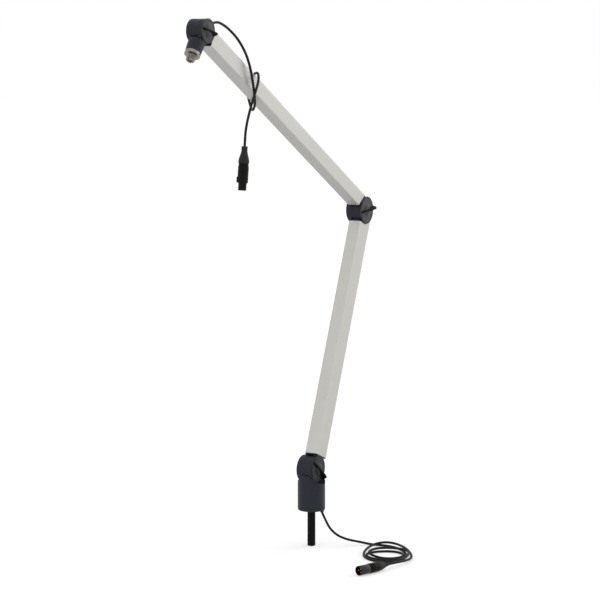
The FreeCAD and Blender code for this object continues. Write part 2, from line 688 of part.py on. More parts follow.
def gland_hole():
    """Hole for the head gland, in the frame of the head knuckle."""
    hole = solid("Cylinder", ORIGIN, gland_turn, Radius="gland_neck_dia / 2 + run_clear",
                 Height="head_knuckle_dia")
    core = solid("Cylinder", ORIGIN, gland_turn, Radius="gland_dia / 2", Height=GLAND_ROOT)
    return cut(hole, core)


def upper_arm():
    """Upper profile with its sloped elbow end, two knuckles, screws, cable and gland."""
    rounds = ("upper_top_round", "upper_low_round")
    slope = Rotation(Y_AXIS, value("mitre_angle"))
    far = "upper_depth * 2"
    elbow_seat = seat("knuckle_dia")
    top = "upper_reach - (%s)" % seat("head_knuckle_dia")
    levels = screw_levels("knuckle_dia")
    levels += ["upper_reach - (%s)" % level for level in screw_levels("head_knuckle_dia")]
    under = box_between(("-" + far, "-arm_width", "-" + far), (far, "arm_width", elbow_seat),
                        Placement(Vector(), slope))
    profile("upper_profile", "upper_depth", rounds, "upper_offset", "0", top, levels, upper_frame, (under,))
    arm_end("upper_elbow_knuckle", upper_frame, "knuckle_dia", True, "upper_depth", rounds, "upper_offset",
            slope)
    arm_end("upper_head_knuckle", head_end, "head_knuckle_dia", False, "upper_depth", rounds[::-1], "0")
    screws = [screw(("upper_offset", HALF_ARM, level), "plug_screw_length", TO_NEAR) for level in levels]
    group("upper_screws", screws, upper_frame)
    inner_cable("upper_inner_cable", "upper_offset", elbow_seat, top, upper_frame)
    gland = turned("head_cable_gland", (
        ("0", GLAND_ROOT),
        ("gland_neck_dia / 2", GLAND_ROOT),
        ("gland_neck_dia / 2", GLAND_FOOT),
        ("gland_dia / 2", GLAND_FOOT),
        ("gland_dia / 2", GLAND_FOOT + " + gland_flange"),
        ("gland_neck_dia / 2", GLAND_FOOT + " + gland_flange"),
        ("gland_tip_dia / 2", GLAND_TIP),
        ("0", GLAND_TIP),
    ))
    keep(gland, "head_cable_gland", head_end.multiply(Placement(Vector(), gland_turn)))


def clamp_joint(prefix, hinge, drum_dia, cap_height, cap_round, knob_dia, wing, wing_angle):
    """Hardware of one clamp joint, with Z towards its knob."""
    frame = Placement(hinge, TO_NEAR)
    radius = "%s / 2" % drum_dia
    back = "-" + HALF_ARM
    head_top = back + " - face_gap"
    head_foot = head_top + " - bolt_head_height"
    knob_foot = HALF_ARM + " + knob_gap"
    nut_foot = knob_foot + " + knob_recess"
    nut_top = nut_foot + " + nut_height"
    bolt = turned(prefix + "_pivot_bolt", (
        ("0", head_foot),
        ("bolt_head_dia / 2", head_foot),
        ("bolt_head_dia / 2", head_top),
        ("bolt_dia / 2", head_top),
        ("bolt_dia / 2", nut_top),
        ("0", nut_top),
    ))
    keep(bolt, prefix + "_pivot_bolt", frame)
    recess = "bolt_head_dia / 2 + cap_recess_clear"
    recess_end = head_foot + " - cap_recess_clear"
    cap_end = back + " - " + cap_height
    cap = turned(prefix + "_far_cap", (
        (recess, back),
        (radius, back),
        (radius, cap_end),
        ("0", cap_end),
        ("0", recess_end),
        (recess, recess_end),
    ), rounds=((2, cap_round),))
    keep(cap, prefix + "_far_cap", frame)
    loose = "bolt_dia / 2 + cap_clear"
    thickness = "friction_gap - 2 * face_gap"
    edge = radius + " - washer_inset"
    feet = (TONGUE + " + face_gap", "-%s - friction_gap + face_gap" % TONGUE)
    washers = []
    for side, foot in enumerate(feet):
        washers.append(ring("%s_washer_%d" % (prefix, side), loose, edge, foot, thickness))
    group(prefix + "_friction_washers", washers, frame)
    spring_foot = HALF_ARM + " + face_gap"
    spring_top = spring_foot + " + spring_height"
    spring = turned(prefix + "_disc_spring", (
        (loose, spring_top + " - spring_sheet"),
        ("spring_dia / 2", spring_foot),
        ("spring_dia / 2", spring_foot + " + spring_sheet"),
        (loose, spring_top),
    ))
    keep(spring, prefix + "_disc_spring", frame)
    disc = solid("Cylinder", ("0", "0", knob_foot), Radius=knob_dia + " / 2", Height="knob_thick")
    face = knob_foot + " + knob_thick - wing_sink"
    boss = solid("Cone", ("0", "0", face), Radius1="hub_dia / 2", Radius2="hub_top_dia / 2",
                 Height="hub_height + wing_sink")
    # The lever is a roof across the disc: low at one end, with its full height at the tip.
    across = Rotation(Z_AXIS, value(wing_angle)).multiply(TO_NEAR)
    lever = solid("Wedge", ("0", "0", face), across, Xmin="-%s_back" % wing, Xmax=wing + "_length",
                  Ymin="0", Ymax=wing + "_height + wing_sink",
                  Zmin="-%s_width / 2" % wing, Zmax="%s_width / 2" % wing,
                  X2min="%s_length - ridge_length" % wing, X2max=wing + "_length",
                  Z2min="-ridge_width / 2", Z2max="ridge_width / 2")
    hollow = solid("Cylinder", ("0", "0", knob_foot), Radius="spring_dia / 2 + cap_clear",
                   Height="knob_recess")
    pocket = solid("Cylinder", ("0", "0", knob_foot), Radius="nut_dia / 2 + run_clear",
                   Height="knob_recess + nut_height + nut_room")
    keep(cut(fuse(disc, boss, lever), hollow, pocket), prefix + "_clamp_knob", frame)
    hexagon = solid("Prism", ("0", "0", nut_foot), Circumradius="nut_dia / 2", Height="nut_height")
    hexagon.Polygon = 6
    thread = solid("Cylinder", ("0", "0", nut_foot), Radius="bolt_dia / 2 + run_clear", Height="nut_height")
    keep(cut(hexagon, thread), prefix + "_knob_nut", frame)


def microphone_head():
    """Yoke, sleeve, collar and the thread for a microphone clip, with Z along the sleeve."""
    hub = drum_hub("head_knuckle_dia", True, Rotation())
    bridge_foot = rim("head_knuckle_dia")
    flange = solid("Cylinder", ("0", "0", bridge_foot), Radius="flange_dia / 2", Height="flange_height")
    stem = solid("Cylinder", ("0", "0", bridge_foot), Radius="stem_dia / 2",
                 Height="stem_end - (%s)" % bridge_foot)
    stud_hole = solid("Cylinder", ("0", "0", "stud_root"), Radius="stud_dia / 2 + run_clear",
                      Height="stem_end - stud_root")
    keep(cut(fuse(hub, flange, stem), stud_hole), "head_yoke", head_frame)
    sleeve_top = bridge_foot + " + sleeve_gap"
    flange_seat = bridge_foot + " + flange_height"
    sleeve = turned("mic_sleeve", (
        ("flange_dia / 2 + run_clear", sleeve_top),
        ("sleeve_top_dia / 2", sleeve_top),
        ("sleeve_end_dia / 2", "sleeve_end"),
        ("stud_dia / 2 + run_clear", "sleeve_end"),
        ("stud_dia / 2 + run_clear", "stem_end"),
        ("stem_dia / 2 + run_clear", "stem_end"),
        ("stem_dia / 2 + run_clear", flange_seat),
        ("flange_dia / 2 + run_clear", flange_seat),
    ), rounds=((1, "sleeve_edge"), (2, "sleeve_edge")))
    keep(sleeve, "mic_sleeve", head_frame)
    collar_end = "sleeve_end + collar_ring_height"
    thread = "adapter_root_dia / 2 + run_clear"
    collar = turned("collar_ring", (
        (thread, "sleeve_end"),
        ("collar_ring_dia / 2 - collar_edge", "sleeve_end"),
        ("collar_ring_dia / 2", "sleeve_end + collar_edge"),
        ("collar_ring_dia / 2", collar_end + " - collar_edge"),
        ("collar_ring_dia / 2 - collar_edge", collar_end),
        (thread, collar_end),
    ))
    level = "sleeve_end + collar_ring_height / 2"
    holes = []
    screws = []
    for side in (1, -1):
        out = Rotation(X_AXIS, 90 * side)
        rim_y = "%d * (collar_ring_dia / 2 - collar_edge)" % side
        depth = "collar_ring_dia / 2 - collar_edge - (%s)" % thread
        hole = solid("Cylinder", ("0", "%d * collar_ring_dia / 2" % side, level), out,
                     Radius="set_screw_dia / 2 + run_clear",
                     Height="collar_ring_dia / 2 - adapter_root_dia / 2")
        grub = solid("Cylinder", ("0", rim_y, level), out, Radius="set_screw_dia / 2", Height=depth)
        socket = solid("Prism", ("0", rim_y, level), out, Circumradius="hex_socket / 2", Height="hex_socket")
        socket.Polygon = 6
        holes.append(hole)
        screws.append(cut(grub, socket))
    keep(cut(collar, *holes), "thread_collar", head_frame)
    group("collar_screws", screws, head_frame)
    end = collar_end + " + adapter_length"
    inside = "stud_dia / 2 + run_clear"
    tube = turned("adapter_tube", (
        (inside, "sleeve_end"),
        ("adapter_root_dia / 2", "sleeve_end"),
        ("adapter_root_dia / 2", collar_end),
        ("adapter_dia / 2", collar_end),
        ("adapter_dia / 2", end),
        (inside, end),
    ))
    slot = box_between(("-adapter_dia", "-adapter_slot / 2", end + " - adapter_slot_depth"),
                       ("adapter_dia", "adapter_slot / 2", end))
    keep(cut(tube, slot), "thread_adapter", head_frame)
    stud = turned("mic_stud", (
        ("0", "stud_root"),
        ("stud_dia / 2", "stud_root"),
        ("stud_dia / 2", end + " - adapter_slot_depth"),
        ("0", end + " - adapter_slot_depth"),
    ))
    keep(stud, "mic_stud", head_frame)


def contact_places():
    """The three contacts on their circle."""
    radius = "contact_circle / 2"
    return [("%s * cos(%d)" % (radius, a), "%s * sin(%d)" % (radius, a)) for a in CONTACT_ANGLES]


def cable_socket(frame):
    """Socket on the head cable, with Z from its boot to its nose and X towards its release tab."""
    ring_foot = "socket_boot_length"
    shell_foot = ring_foot + " + socket_ring_length"
    step = shell_foot + " + socket_shell_length"
    end = step + " + socket_nose_length"
    boot = turned("female_boot", (
        ("0", "0"),
        ("socket_boot_dia / 2", "0"),
        ("socket_boot_dia / 2", "socket_boot_neck"),
        ("socket_dia / 2", "socket_boot_length - socket_boot_edge"),
        ("socket_dia / 2", ring_foot),
        ("0", ring_foot),
    ))
    keep(boot, "female_boot", frame)
    band = turned("female_ring", (
        ("0", ring_foot),
        ("socket_ring_dia / 2", ring_foot),
        ("socket_ring_dia / 2", shell_foot),
        ("0", shell_foot),
    ))
    keep(band, "female_ring", frame)
    insert_foot = shell_foot + " + wall_thick"
    shell = turned("female_case", (
        ("0", shell_foot),
        ("socket_dia / 2", shell_foot),
        ("socket_dia / 2", step),
        ("socket_nose_dia / 2", step),
        ("socket_nose_dia / 2", end),
        ("socket_bore / 2", end),
        ("socket_bore / 2", insert_foot),
        ("0", insert_foot),
    ))
    tab_top = step + " - wall_thick / 2"
    tab_foot = tab_top + " - latch_length"
    window = box_between(
        ("0", "-latch_width / 2 - latch_clear", tab_foot + " - latch_clear"),
        ("socket_dia", "latch_width / 2 + latch_clear", tab_top + " + latch_clear"))
    keep(cut(shell, window), "female_shell", frame)
    tab = box_between(("latch_foot", "-latch_width / 2", tab_foot),
                      ("latch_top", "latch_width / 2", tab_top))
    bevel = box_between(("latch_top", "-latch_width", "-latch_length"),
                        ("latch_top * 2", "latch_width", "latch_length * 2"),
                        Placement(Vector(0, 0, value(tab_foot)), Rotation(Y_AXIS, value("latch_slope"))))
    keep(cut(tab, bevel), "female_latch", frame)
    insert = solid("Cylinder", ("0", "0", insert_foot), Radius="socket_bore / 2 - run_clear",
                   Height="(%s) - (%s)" % (end, insert_foot))
    holes = []
    contacts = []
    for x, y in contact_places():
        foot = step
        holes.append(solid("Cylinder", (x, y, foot), Radius="contact_dia / 2 + run_clear",
                           Height="socket_nose_length"))
        tube = solid("Cylinder", (x, y, foot), Radius="contact_dia / 2",
                     Height="socket_nose_length - contact_sink")
        bore = solid("Cylinder", (x, y, foot), Radius="contact_bore / 2", Height="socket_nose_length")
        contacts.append(cut(tube, bore))
    keep(cut(insert, *holes), "female_insert", frame)
    group("female_contacts", contacts, frame)


def cable_plug(frame):
    """Plug on the base cable, with Z from its boot to its mouth."""
    ring_foot = "plug_boot_length"
    shell_foot = ring_foot + " + plug_ring_length"
    end = shell_foot + " + plug_shell_length"
    mouth = end + " - plug_mouth"
    boot = turned("male_boot", (
        ("0", "0"),
        ("plug_boot_dia / 2", "0"),
        ("plug_ring_dia / 2", "plug_boot_length - plug_boot_edge"),
        ("plug_ring_dia / 2", ring_foot),
        ("0", ring_foot),
    ))
    keep(boot, "male_boot", frame)
    band = turned("male_ring", (
        ("0", ring_foot),
        ("plug_dia / 2", ring_foot),
        ("plug_dia / 2", shell_foot),
        ("0", shell_foot),
    ))
    keep(band, "male_ring", frame)
    shell = turned("male_shell", (
        ("plug_bore / 2", shell_foot),
        ("plug_dia / 2", shell_foot),
        ("plug_dia / 2", end),
        ("plug_bore / 2", end),
    ))
    keep(shell, "male_shell", frame)
    insert = solid("Cylinder", ("0", "0", shell_foot), Radius="plug_bore / 2 - run_clear",
                   Height="(%s) - (%s)" % (mouth, shell_foot))
    holes = []
    pins = []
    for x, y in contact_places():
        foot = mouth + " - plug_floor"
        holes.append(solid("Cylinder", (x, y, foot), Radius="plug_pin_dia / 2 + run_clear",
                           Height="plug_floor"))
        pins.append(solid("Cylinder", (x, y, foot), Radius="plug_pin_dia / 2",
                          Height="plug_floor + plug_pin_length"))
    keep(cut(insert, *holes), "male_insert", frame)
    group("male_pins", pins, frame)


def tube_along(label, edges, frame=Placement()):
    """Cable along a path of tangent edges, its volume compared with its section times its length."""
    path = Part.Wire(edges)
    first = edges[0]
    heading = first.tangentAt(first.FirstParameter)
    radius = value("cord_dia / 2")
    section = Part.Wire(Part.Circle(first.valueAt(first.FirstParameter), heading, radius).toShape())
    tube = path.makePipeShell([section], True, False)
    expected = math.pi * radius ** 2 * path.Length
    share = tube.Volume / expected
    print("%s: length %.1f, volume over section times length %.4f" % (label, path.Length, share))
    item = doc.addObject("Part::Feature", label)
    item.Shape = tube
    return keep(item, label, frame)


def softened(label, points):
    """Straight runs joined by tangent arcs, each as large as its shorter run allows."""
    edges = []
    radii = []
    start = points[0]
    for before, point, after in zip(points, points[1:], points[2:]):
        inward = (point - before).normalize()
        outward = (after - point).normalize()
        half_turn = inward.getAngle(outward) / 2
        reach = BEND_SHARE * min((point - before).Length, (after - point).Length)
        radius = reach / math.tan(half_turn)
        radii.append(radius)
        entry = point - inward * reach
        leave = point + outward * reach
        inside = (outward - inward).normalize()
        middle = point + inside * (radius / math.cos(half_turn) - radius)
        edges.append(Part.LineSegment(start, entry).toShape())
        edges.append(Part.Arc(entry, middle, leave).toShape())
        start = leave
    edges.append(Part.LineSegment(start, points[-1]).toShape())
    print("%s: radii %s" % (label, " ".join("%.0f" % radius for radius in radii)))
    return edges


def biarc(start, start_way, end, end_way):
    """Two tangent arcs from one point and heading to another."""
    span = end - start
    ways = start_way + end_way
    along = span.dot(ways)
    spread = 2 * (1 - start_way.dot(end_way))
    if spread < 1e-9:
        arm = span.dot(span) / (4 * span.dot(end_way))
    else:
        arm = (math.sqrt(along ** 2 + spread * span.dot(span)) - along) / spread
    joint = (start + end + (start_way - end_way) * arm) * 0.5
    first = Part.Arc(start, arc_middle(start, start_way, joint), joint)
    second = Part.Arc(joint, arc_middle(end, end_way * -1, joint), end)
    return [first.toShape(), second.toShape()]


def arc_middle(start, way, end):
    """Middle of the arc that leaves a point along a heading and passes through another point."""
    chord = end - start
    angle = way.getAngle(chord)
    square = (chord - way * chord.dot(way)).normalize()
    bow = chord.Length / 2 * math.tan(angle / 2)
    across = (square * math.cos(angle) - way * math.sin(angle)) * bow
    return start + chord * 0.5 - across


def coil_point(place, floor):
    """Place on the coil after so many quarter turns, each a quarter oval from one reach to the next."""
    quarter = min(int(place), len(COIL_QUARTERS) - 2)
    share = place - quarter
    heading = math.radians(COIL_HEADING - 90 * quarter)
    first_way = Vector(math.cos(heading), math.sin(heading), 0)
    next_way = Vector(math.sin(heading), -math.cos(heading), 0)
    first_part, first_layer = COIL_QUARTERS[quarter]
    next_part, next_layer = COIL_QUARTERS[quarter + 1]
    loop = (value("coil_across") / 2, value("coil_along") / 2)
    first_reach = first_part * loop[quarter % 2]
    next_reach = next_part * loop[(quarter + 1) % 2]
    layer = first_layer + (next_layer - first_layer) * share * share * (3 - 2 * share)
    turn = math.radians(90 * share)
    middle = Vector(COIL_MIDDLE[0], COIL_MIDDLE[1], floor + layer * value("coil_layer"))
    return middle + first_way * (first_reach * math.cos(turn)) + next_way * (next_reach * math.sin(turn))


def coil_edges(floor, end, end_way):
    """Path of the coil with its way in and its tail, as biarcs of half a quarter turn."""
    last = len(COIL_QUARTERS) - 1
    near = 1e-4
    mouth_way = math.radians(COIL_MOUTH_HEADING)
    points = [Vector(COIL_MOUTH[0], COIL_MOUTH[1], floor)]
    ways = [Vector(math.cos(mouth_way), math.sin(mouth_way), 0)]
    for step in range(2 * last + 1):
        place = step / 2
        ahead = coil_point(min(place + near, last), floor)
        behind = coil_point(max(place - near, 0), floor)
        points.append(coil_point(place, floor))
        ways.append((ahead - behind).normalize())
    straight = value("cord_dia")
    first = points[0] - ways[0] * straight
    tail = end - end_way * straight
    edges = [Part.LineSegment(first, points[0]).toShape()]
    for step in range(len(points) - 1):
        edges += biarc(points[step], ways[step], points[step + 1], ways[step + 1])
    edges += biarc(points[-1], ways[-1], tail, end_way)
    edges.append(Part.LineSegment(tail, end).toShape())
    return edges, first, ways[0]


def least_gap(edges):
    """Least clear distance between stretches of the coil that lie well apart along it."""
    step = 3.0
    path = Part.Wire(edges)
    points = path.discretize(Distance=step)
    apart = int(6 * value("cord_dia") / step)
    least = min((p - q).Length for n, p in enumerate(points) for q in points[n + apart:])
    return least - value("cord_dia")


def cables():
    """Both free cables with their connectors, the coil among them."""
    fall = (SOCKET_TIP - SOCKET_TOP).normalize()
    across = math.radians(COIL_HEADING)
    tab_way = Vector(-math.cos(across), -math.sin(across), 0)
    socket_turn = Rotation(tab_way, Vector(), fall, "ZXY")
    cable_socket(Placement(SOCKET_TOP, socket_turn))
    head_points = [head_end.multVec(gland_turn.multVec(Vector(0, 0, value(GLAND_TIP))))]
    head_points += [Vector(*point) for point in HEAD_ROUTE]
    head_points.append(SOCKET_TOP)
    tube_along("head_cable", softened("head_cable", head_points))

    floor = -value("pin_drop") + value("coil_lift")
    heading = math.radians(PLUG_HEADING)
    plug_way = Vector(math.cos(heading), math.sin(heading), 0)
    plug_back = Vector(PLUG_BACK[0], PLUG_BACK[1], floor + value("plug_dia / 2"))
    cable_plug(Placement(plug_back, Rotation(Vector(), Z_AXIS, plug_way, "ZYX")))
    edges, coil_mouth, coil_way = coil_edges(floor + value("cord_dia / 2"), plug_back, plug_way)
    print("base_coil: least gap to itself %.2f" % least_gap(edges))
    tube_along("base_coil", edges)
    angle = math.radians(value("base_gland_angle"))
    circle = value("base_gland_circle")
    exit_point = Vector(circle * math.cos(angle), circle * math.sin(angle), -value("base_gland_length"))
    base_points = [exit_point]
    base_points += [Vector(*point) for point in BASE_ROUTE]
    base_points.append(coil_mouth - coil_way * value("coil_run_in"))
    base_points.append(coil_mouth)
    tube_along("base_cable", softened("base_cable", base_points))


def write_pieces():
    """Check every object and write each piece to its own file."""
    doc.recompute()
    for item in doc.Objects:
        if "Invalid" in item.State or "Error" in item.State:
            raise RuntimeError("%s failed: %s" % (item.Label, item.State))
    for item in pieces:
        if item.Shape.isNull() or not item.Shape.isValid():
            raise RuntimeError("%s has no valid shape" % item.Label)
    os.makedirs("parts", exist_ok=True)
    for item in pieces:
        item.Shape.exportStep("parts/%s.step" % item.Label)
    print("%d pieces written" % len(pieces))


spigot_pin()
swivel_bearing()
base_drum()
base_bottom()
lower_arm()
upper_arm()
clamp_joint("base", base_hinge, "knuckle_dia", "far_cap_height", "far_cap_round", "knob_dia", "wing",
            "base_wing_angle")
clamp_joint("elbow", elbow_hinge, "knuckle_dia", "far_cap_height", "far_cap_round", "knob_dia", "wing",
            "elbow_wing_angle")
clamp_joint("head", head_hinge, "head_knuckle_dia", "head_cap_height", "head_cap_round", "head_knob_dia",
            "head_wing", "head_wing_angle")
microphone_head()
cables()
write_pieces()
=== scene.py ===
"""Microphone boom arm: cables, knobs, thread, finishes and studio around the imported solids."""
import json
import math

import bpy
import numpy as np
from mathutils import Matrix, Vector


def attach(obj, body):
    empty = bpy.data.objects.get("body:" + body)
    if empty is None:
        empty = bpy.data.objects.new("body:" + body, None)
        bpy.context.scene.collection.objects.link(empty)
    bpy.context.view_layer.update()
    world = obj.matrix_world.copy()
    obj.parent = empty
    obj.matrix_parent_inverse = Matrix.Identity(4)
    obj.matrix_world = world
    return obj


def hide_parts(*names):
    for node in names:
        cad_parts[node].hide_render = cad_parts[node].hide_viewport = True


bl_info = {
    "name": "Microphone Boom Arm",
    "version": (1, 0, 0),
    "blender": (4, 5, 0),
    "location": "View3D > Sidebar > Boom Arm",
    "description": "Dresses the solids of a two-section microphone boom arm",
    "category": "Object",
}

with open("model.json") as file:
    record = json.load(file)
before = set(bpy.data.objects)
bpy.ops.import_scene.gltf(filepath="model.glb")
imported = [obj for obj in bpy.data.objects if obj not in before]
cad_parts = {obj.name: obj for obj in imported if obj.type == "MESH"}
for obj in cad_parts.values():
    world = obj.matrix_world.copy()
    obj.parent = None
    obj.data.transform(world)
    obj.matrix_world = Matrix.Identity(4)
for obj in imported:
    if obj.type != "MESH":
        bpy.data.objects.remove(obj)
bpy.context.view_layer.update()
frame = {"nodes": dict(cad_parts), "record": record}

MM = 0.001

# Place of the camera in metres, and the direction from the arm back to it.
CAMERA_PLACE = (-3.25349, -1.72540, 0.88239)
CAMERA_BACK = (-0.87372, -0.47033, 0.12410)

# Hinge points of the three clamp joints, in millimetres.
BASE_HINGE = (0.0, 0.0, 82.3)
ELBOW_HINGE = (214.472, 0.0, 585.609)
HEAD_HINGE = (-413.792, 0.0, 940.959)

# Turn about Y that brings the length of each profile upright.
LOWER_LEAN = math.radians(-23.08)
UPPER_LEAN = math.radians(61.44)

# Direction of the microphone sleeve, and of the cable socket and plug from their boots.
SLEEVE_WAY = (-0.5807, 0.0, -0.8141)
SOCKET_WAY = (-0.0607, 0.0379, -0.9974)
PLUG_WAY = (-0.9245, 0.3811, 0.0)

# Clamp knobs in millimetres: height of their face, the disc's radius, and the lever's sizes.
KNOB_FACE = 16.1
LARGE_KNOB = (28.0, {"back": 26.5, "ahead": 27.6, "width": 10.0, "height": 8.3})
SMALL_KNOB = (21.8, {"back": 20.0, "ahead": 21.0, "width": 8.5, "height": 7.0})

# Boots of the cable socket and of the plug, in millimetres.
SOCKET_BOOT = {"slim": 5.8, "wide": 9.9, "neck": 8.0, "edge": 3.1, "boot_length": 30.6}
PLUG_BOOT = {"slim": 3.6, "wide": 8.7, "neck": 0.0, "edge": 4.0, "boot_length": 27.0}

# Pins of the plug, in millimetres from the back of its boot.
PIN_CIRCLE = 3.6
PIN_TURNS = (67.6, 187.6, 307.6)
PIN_FOOT = 50.0
PIN_TIP = 71.0

# Head cable from its gland to the back of its socket, in millimetres.
HEAD_ROUTE = (
    (-382.39, 0.0, 952.04),
    (-369.2, 0.0, 956.7),
    (-355.5, -0.5, 957.4),
    (-341.8, -1.5, 954.0),
    (-324.6, -4.5, 945.8),
    (-300.4, -9.5, 928.2),
    (-285.2, -16.5, 903.4),
    (-279.2, -21.5, 880.0),
    (-272.4, -21.8, 861.5),
    (-265.8, -21.0, 843.0),
    (-260.5, -20.4, 826.0),
    (-249.5, -15.0, 809.5),
    (-233.0, -1.0, 797.9),
    (-217.5, 12.2, 803.1),
    (-212.3, 20.7, 823.0),
    (-216.5, 23.0, 843.0),
    (-220.5, 15.5, 858.0),
    (-227.5, -1.5, 866.5),
    (-238.8, -14.7, 868.6),
    (-248.6, -22.4, 861.0),
    (-257.5, -26.5, 851.0),
    (-268.6, -28.2, 837.5),
    (-278.6, -27.5, 820.0),
    (-286.8, -25.5, 801.0),
    (-293.2, -23.2, 779.5),
    (-296.2, -20.9, 758.9),
    (-296.6, -20.0, 736.0),
)

# Base cable from its gland to the coil's mouth, in millimetres.
BASE_ROUTE = (
    (9.99, -18.47, -6.0),
    (11.2, -20.8, -12.0),
    (13.6, -25.2, -23.0),
    (17.1, -31.7, -38.0),
    (22.3, -41.4, -49.8),
    (28.2, -52.4, -57.6),
    (36.5, -67.8, -63.4),
    (46.0, -85.4, -67.0),
    (54.4, -107.3, -71.5),
    (57.8, -121.7, -71.5),
)

# The coil at each quarter turn, from the right and round by the near side: share of its outer
# loop's reach, and layer. The loops draw in on the floor, then widen over the first ones.
COIL_MIDDLE = (-4.7, -171.2)
COIL_HEADING = math.radians(-61.7)
COIL_HALF_ACROSS = 46.3
COIL_HALF_ALONG = 75.0
COIL_LAYER = 5.5
COIL_FLOOR = -71.5
COIL_MOUTH_HEADING = math.radians(-76.7)
COIL_QUARTERS = (
    (0.785, 0.0),
    (0.50, 0.0),
    (0.89, 0.0),
    (0.38, 0.0),
    (0.68, 0.0),
    (0.35, 0.0),
    (0.78, 1.0),
    (0.46, 1.0),
    (0.893, 1.0),
    (0.71, 0.0),
    (1.0, 0.0),
    (0.99, 1.2),
    (1.0, 0.0),
)
POINTS_PER_QUARTER = 4

# Back of the plug's boot, and the straight run of cable before it, in millimetres.
PLUG_BACK = (-91.0, -213.0, -64.4)
PLUG_STRAIGHT = 10.0

# Sockets of the Mix node, whose names repeat for numbers and for colours.
MIX_FACTOR = 0
MIX_NUMBER_A = 2
MIX_NUMBER_B = 3
MIX_COLOR_A = 6
MIX_COLOR_B = 7
MIX_COLOR_OUT = 2

# Faces that meet at more than this angle have a sharp edge.
SHARP_ANGLE = math.radians(38.0)


def linear(code):
    """Linear colour with full alpha from an sRGB hex value."""
    channels = np.array([int(code[place:place + 2], 16) for place in (1, 3, 5)]) / 255.0
    low = channels / 12.92
    high = ((channels + 0.055) / 1.055) ** 2.4
    return (*np.where(channels <= 0.04045, low, high).tolist(), 1.0)


def color_setting(name, description, code):
    """Colour setting with its default as an sRGB hex value."""
    return bpy.props.FloatVectorProperty(
        name=name, description=description, subtype="COLOR", size=4, min=0.0, max=1.0,
        default=linear(code))


def length_setting(name, description, millimetres):
    """Length setting with its default in millimetres."""
    return bpy.props.FloatProperty(
        name=name, description=description, unit="LENGTH", min=0.0, default=millimetres * MM)


class BoomFinishes(bpy.types.PropertyGroup):
    """Colours of the arm's finishes."""

    anodised: color_setting("Anodised", "Both arm profiles", "#C3C1BD")
    body: color_setting("Body", "Moulded base, knuckles, caps and sleeve", "#2C2F38")
    # Paler than the body: partly the nylon's own tone, partly painted light on the discs' faces.
    knob: color_setting("Knob", "Discs of the elbow's and the head's clamp knobs", "#3D3D42")
    # Painted shade: the same nylon as the other discs, painted darker for the arm's shade on it.
    base_knob: color_setting("Base Knob", "Disc of the base joint's knob, in the shade", "#191B21")
    lever: color_setting("Lever", "Levers of the clamp knobs", "#0C0C0D")
    pin: color_setting("Pin", "Blackened steel of the base pin", "#131315")
    steel: color_setting("Steel", "Bolts, nuts, springs and screws", "#9A9A98")
    nickel: color_setting("Nickel", "Collar and thread at the head", "#8A857E")
    bronze: color_setting("Bronze", "Swivel bush", "#8C6A3C")
    nylon: color_setting("Nylon", "Washers inside the joints", "#131417")
    contact: color_setting("Contact", "Gilt pins of the connectors", "#C9A24C")
    shell: color_setting("Shell", "Black chrome of the connector shells", "#14110F")
    insert: color_setting("Insert", "Insulators inside the connectors", "#1B1B1C")
    boot: color_setting("Boot", "Rubber boots and glands", "#222226")
    jacket: color_setting("Jacket", "Cable jackets", "#121214")


class BoomSizes(bpy.types.PropertyGroup):
    """Sizes of the pieces made here."""

    cord: length_setting("Cable", "Diameter of both cables", 4.8)
    thread: length_setting("Thread", "Outer diameter of the microphone thread", 15.88)
    thread_pitch: length_setting("Thread Pitch", "Distance between two turns of the thread", 0.941)
    thread_length: length_setting("Thread Length", "Free length of the thread", 11.0)


class BoomStage(bpy.types.PropertyGroup):
    """Floor, light and camera."""

    floor_level: bpy.props.FloatProperty(
        name="Floor", description="Height of the floor under the pin's end", unit="LENGTH",
        default=-0.0741)
    lens: bpy.props.FloatProperty(
        name="Lens", description="Focal length on a 36 mm wide sensor", unit="CAMERA",
        min=1.0, default=112.83)
    ambient: bpy.props.FloatProperty(
        name="Ambient", description="Strength of the even light from all round", min=0.0,
        default=0.62)
    white: color_setting("White", "Backdrop and floor", "#FFFFFF")


def add(tree, kind, values=None, links=None, **settings):
    """Add one node: settings are its options, values its sockets' numbers, links their sources."""
    made = tree.nodes.new(kind)
    for option, choice in settings.items():
        setattr(made, option, choice)
    for socket, number in (values or {}).items():
        made.inputs[socket].default_value = number
    for socket, source in (links or {}).items():
        tree.links.new(source, made.inputs[socket])
    return made


def empty_material(name):
    """Node material with nothing in it yet."""
    material = bpy.data.materials.new(name)
    material.use_nodes = True
    material.node_tree.nodes.clear()
    return material


def shade(color, factor):
    """A colour times a factor, with full alpha."""
    return (color[0] * factor, color[1] * factor, color[2] * factor, 1.0)


def noise(tree, place, grain_mm, detail):
    """Noise with a grain of so many millimetres."""
    values = {"Scale": 1.0 / (grain_mm * MM), "Detail": detail}
    return add(tree, "ShaderNodeTexNoise", values, {"Vector": place}).outputs[0]


def spread(tree, source, low, high):
    """A value from 0 to 1, spread from low to high."""
    values = {"To Min": low, "To Max": high}
    return add(tree, "ShaderNodeMapRange", values, {"Value": source}).outputs[0]


def blended(tree, factor, first, second):
    """Colour between two, each of them a colour or the socket of another node."""
    values = {}
    links = {MIX_FACTOR: factor}
    for socket, item in ((MIX_COLOR_A, first), (MIX_COLOR_B, second)):
        group = links if isinstance(item, bpy.types.NodeSocket) else values
        group[socket] = item
    return add(tree, "ShaderNodeMix", values, links, data_type="RGBA").outputs[MIX_COLOR_OUT]


def mottled(tree, pattern, color, dark, pale):
    """A colour between a darker and a paler shade of it, by a pattern."""
    return blended(tree, pattern, shade(color, dark), shade(color, pale))


def relief(tree, height, strength, depth_mm):
    """Normal of a surface with bumps of so many millimetres."""
    values = {"Strength": strength, "Distance": depth_mm * MM}
    return add(tree, "ShaderNodeBump", values, {"Height": height}).outputs[0]


def piece_mark(tree):
    """The mark that a piece's points carry, 0 or 1."""
    return add(tree, "ShaderNodeAttribute", attribute_name="mark").outputs["Fac"]


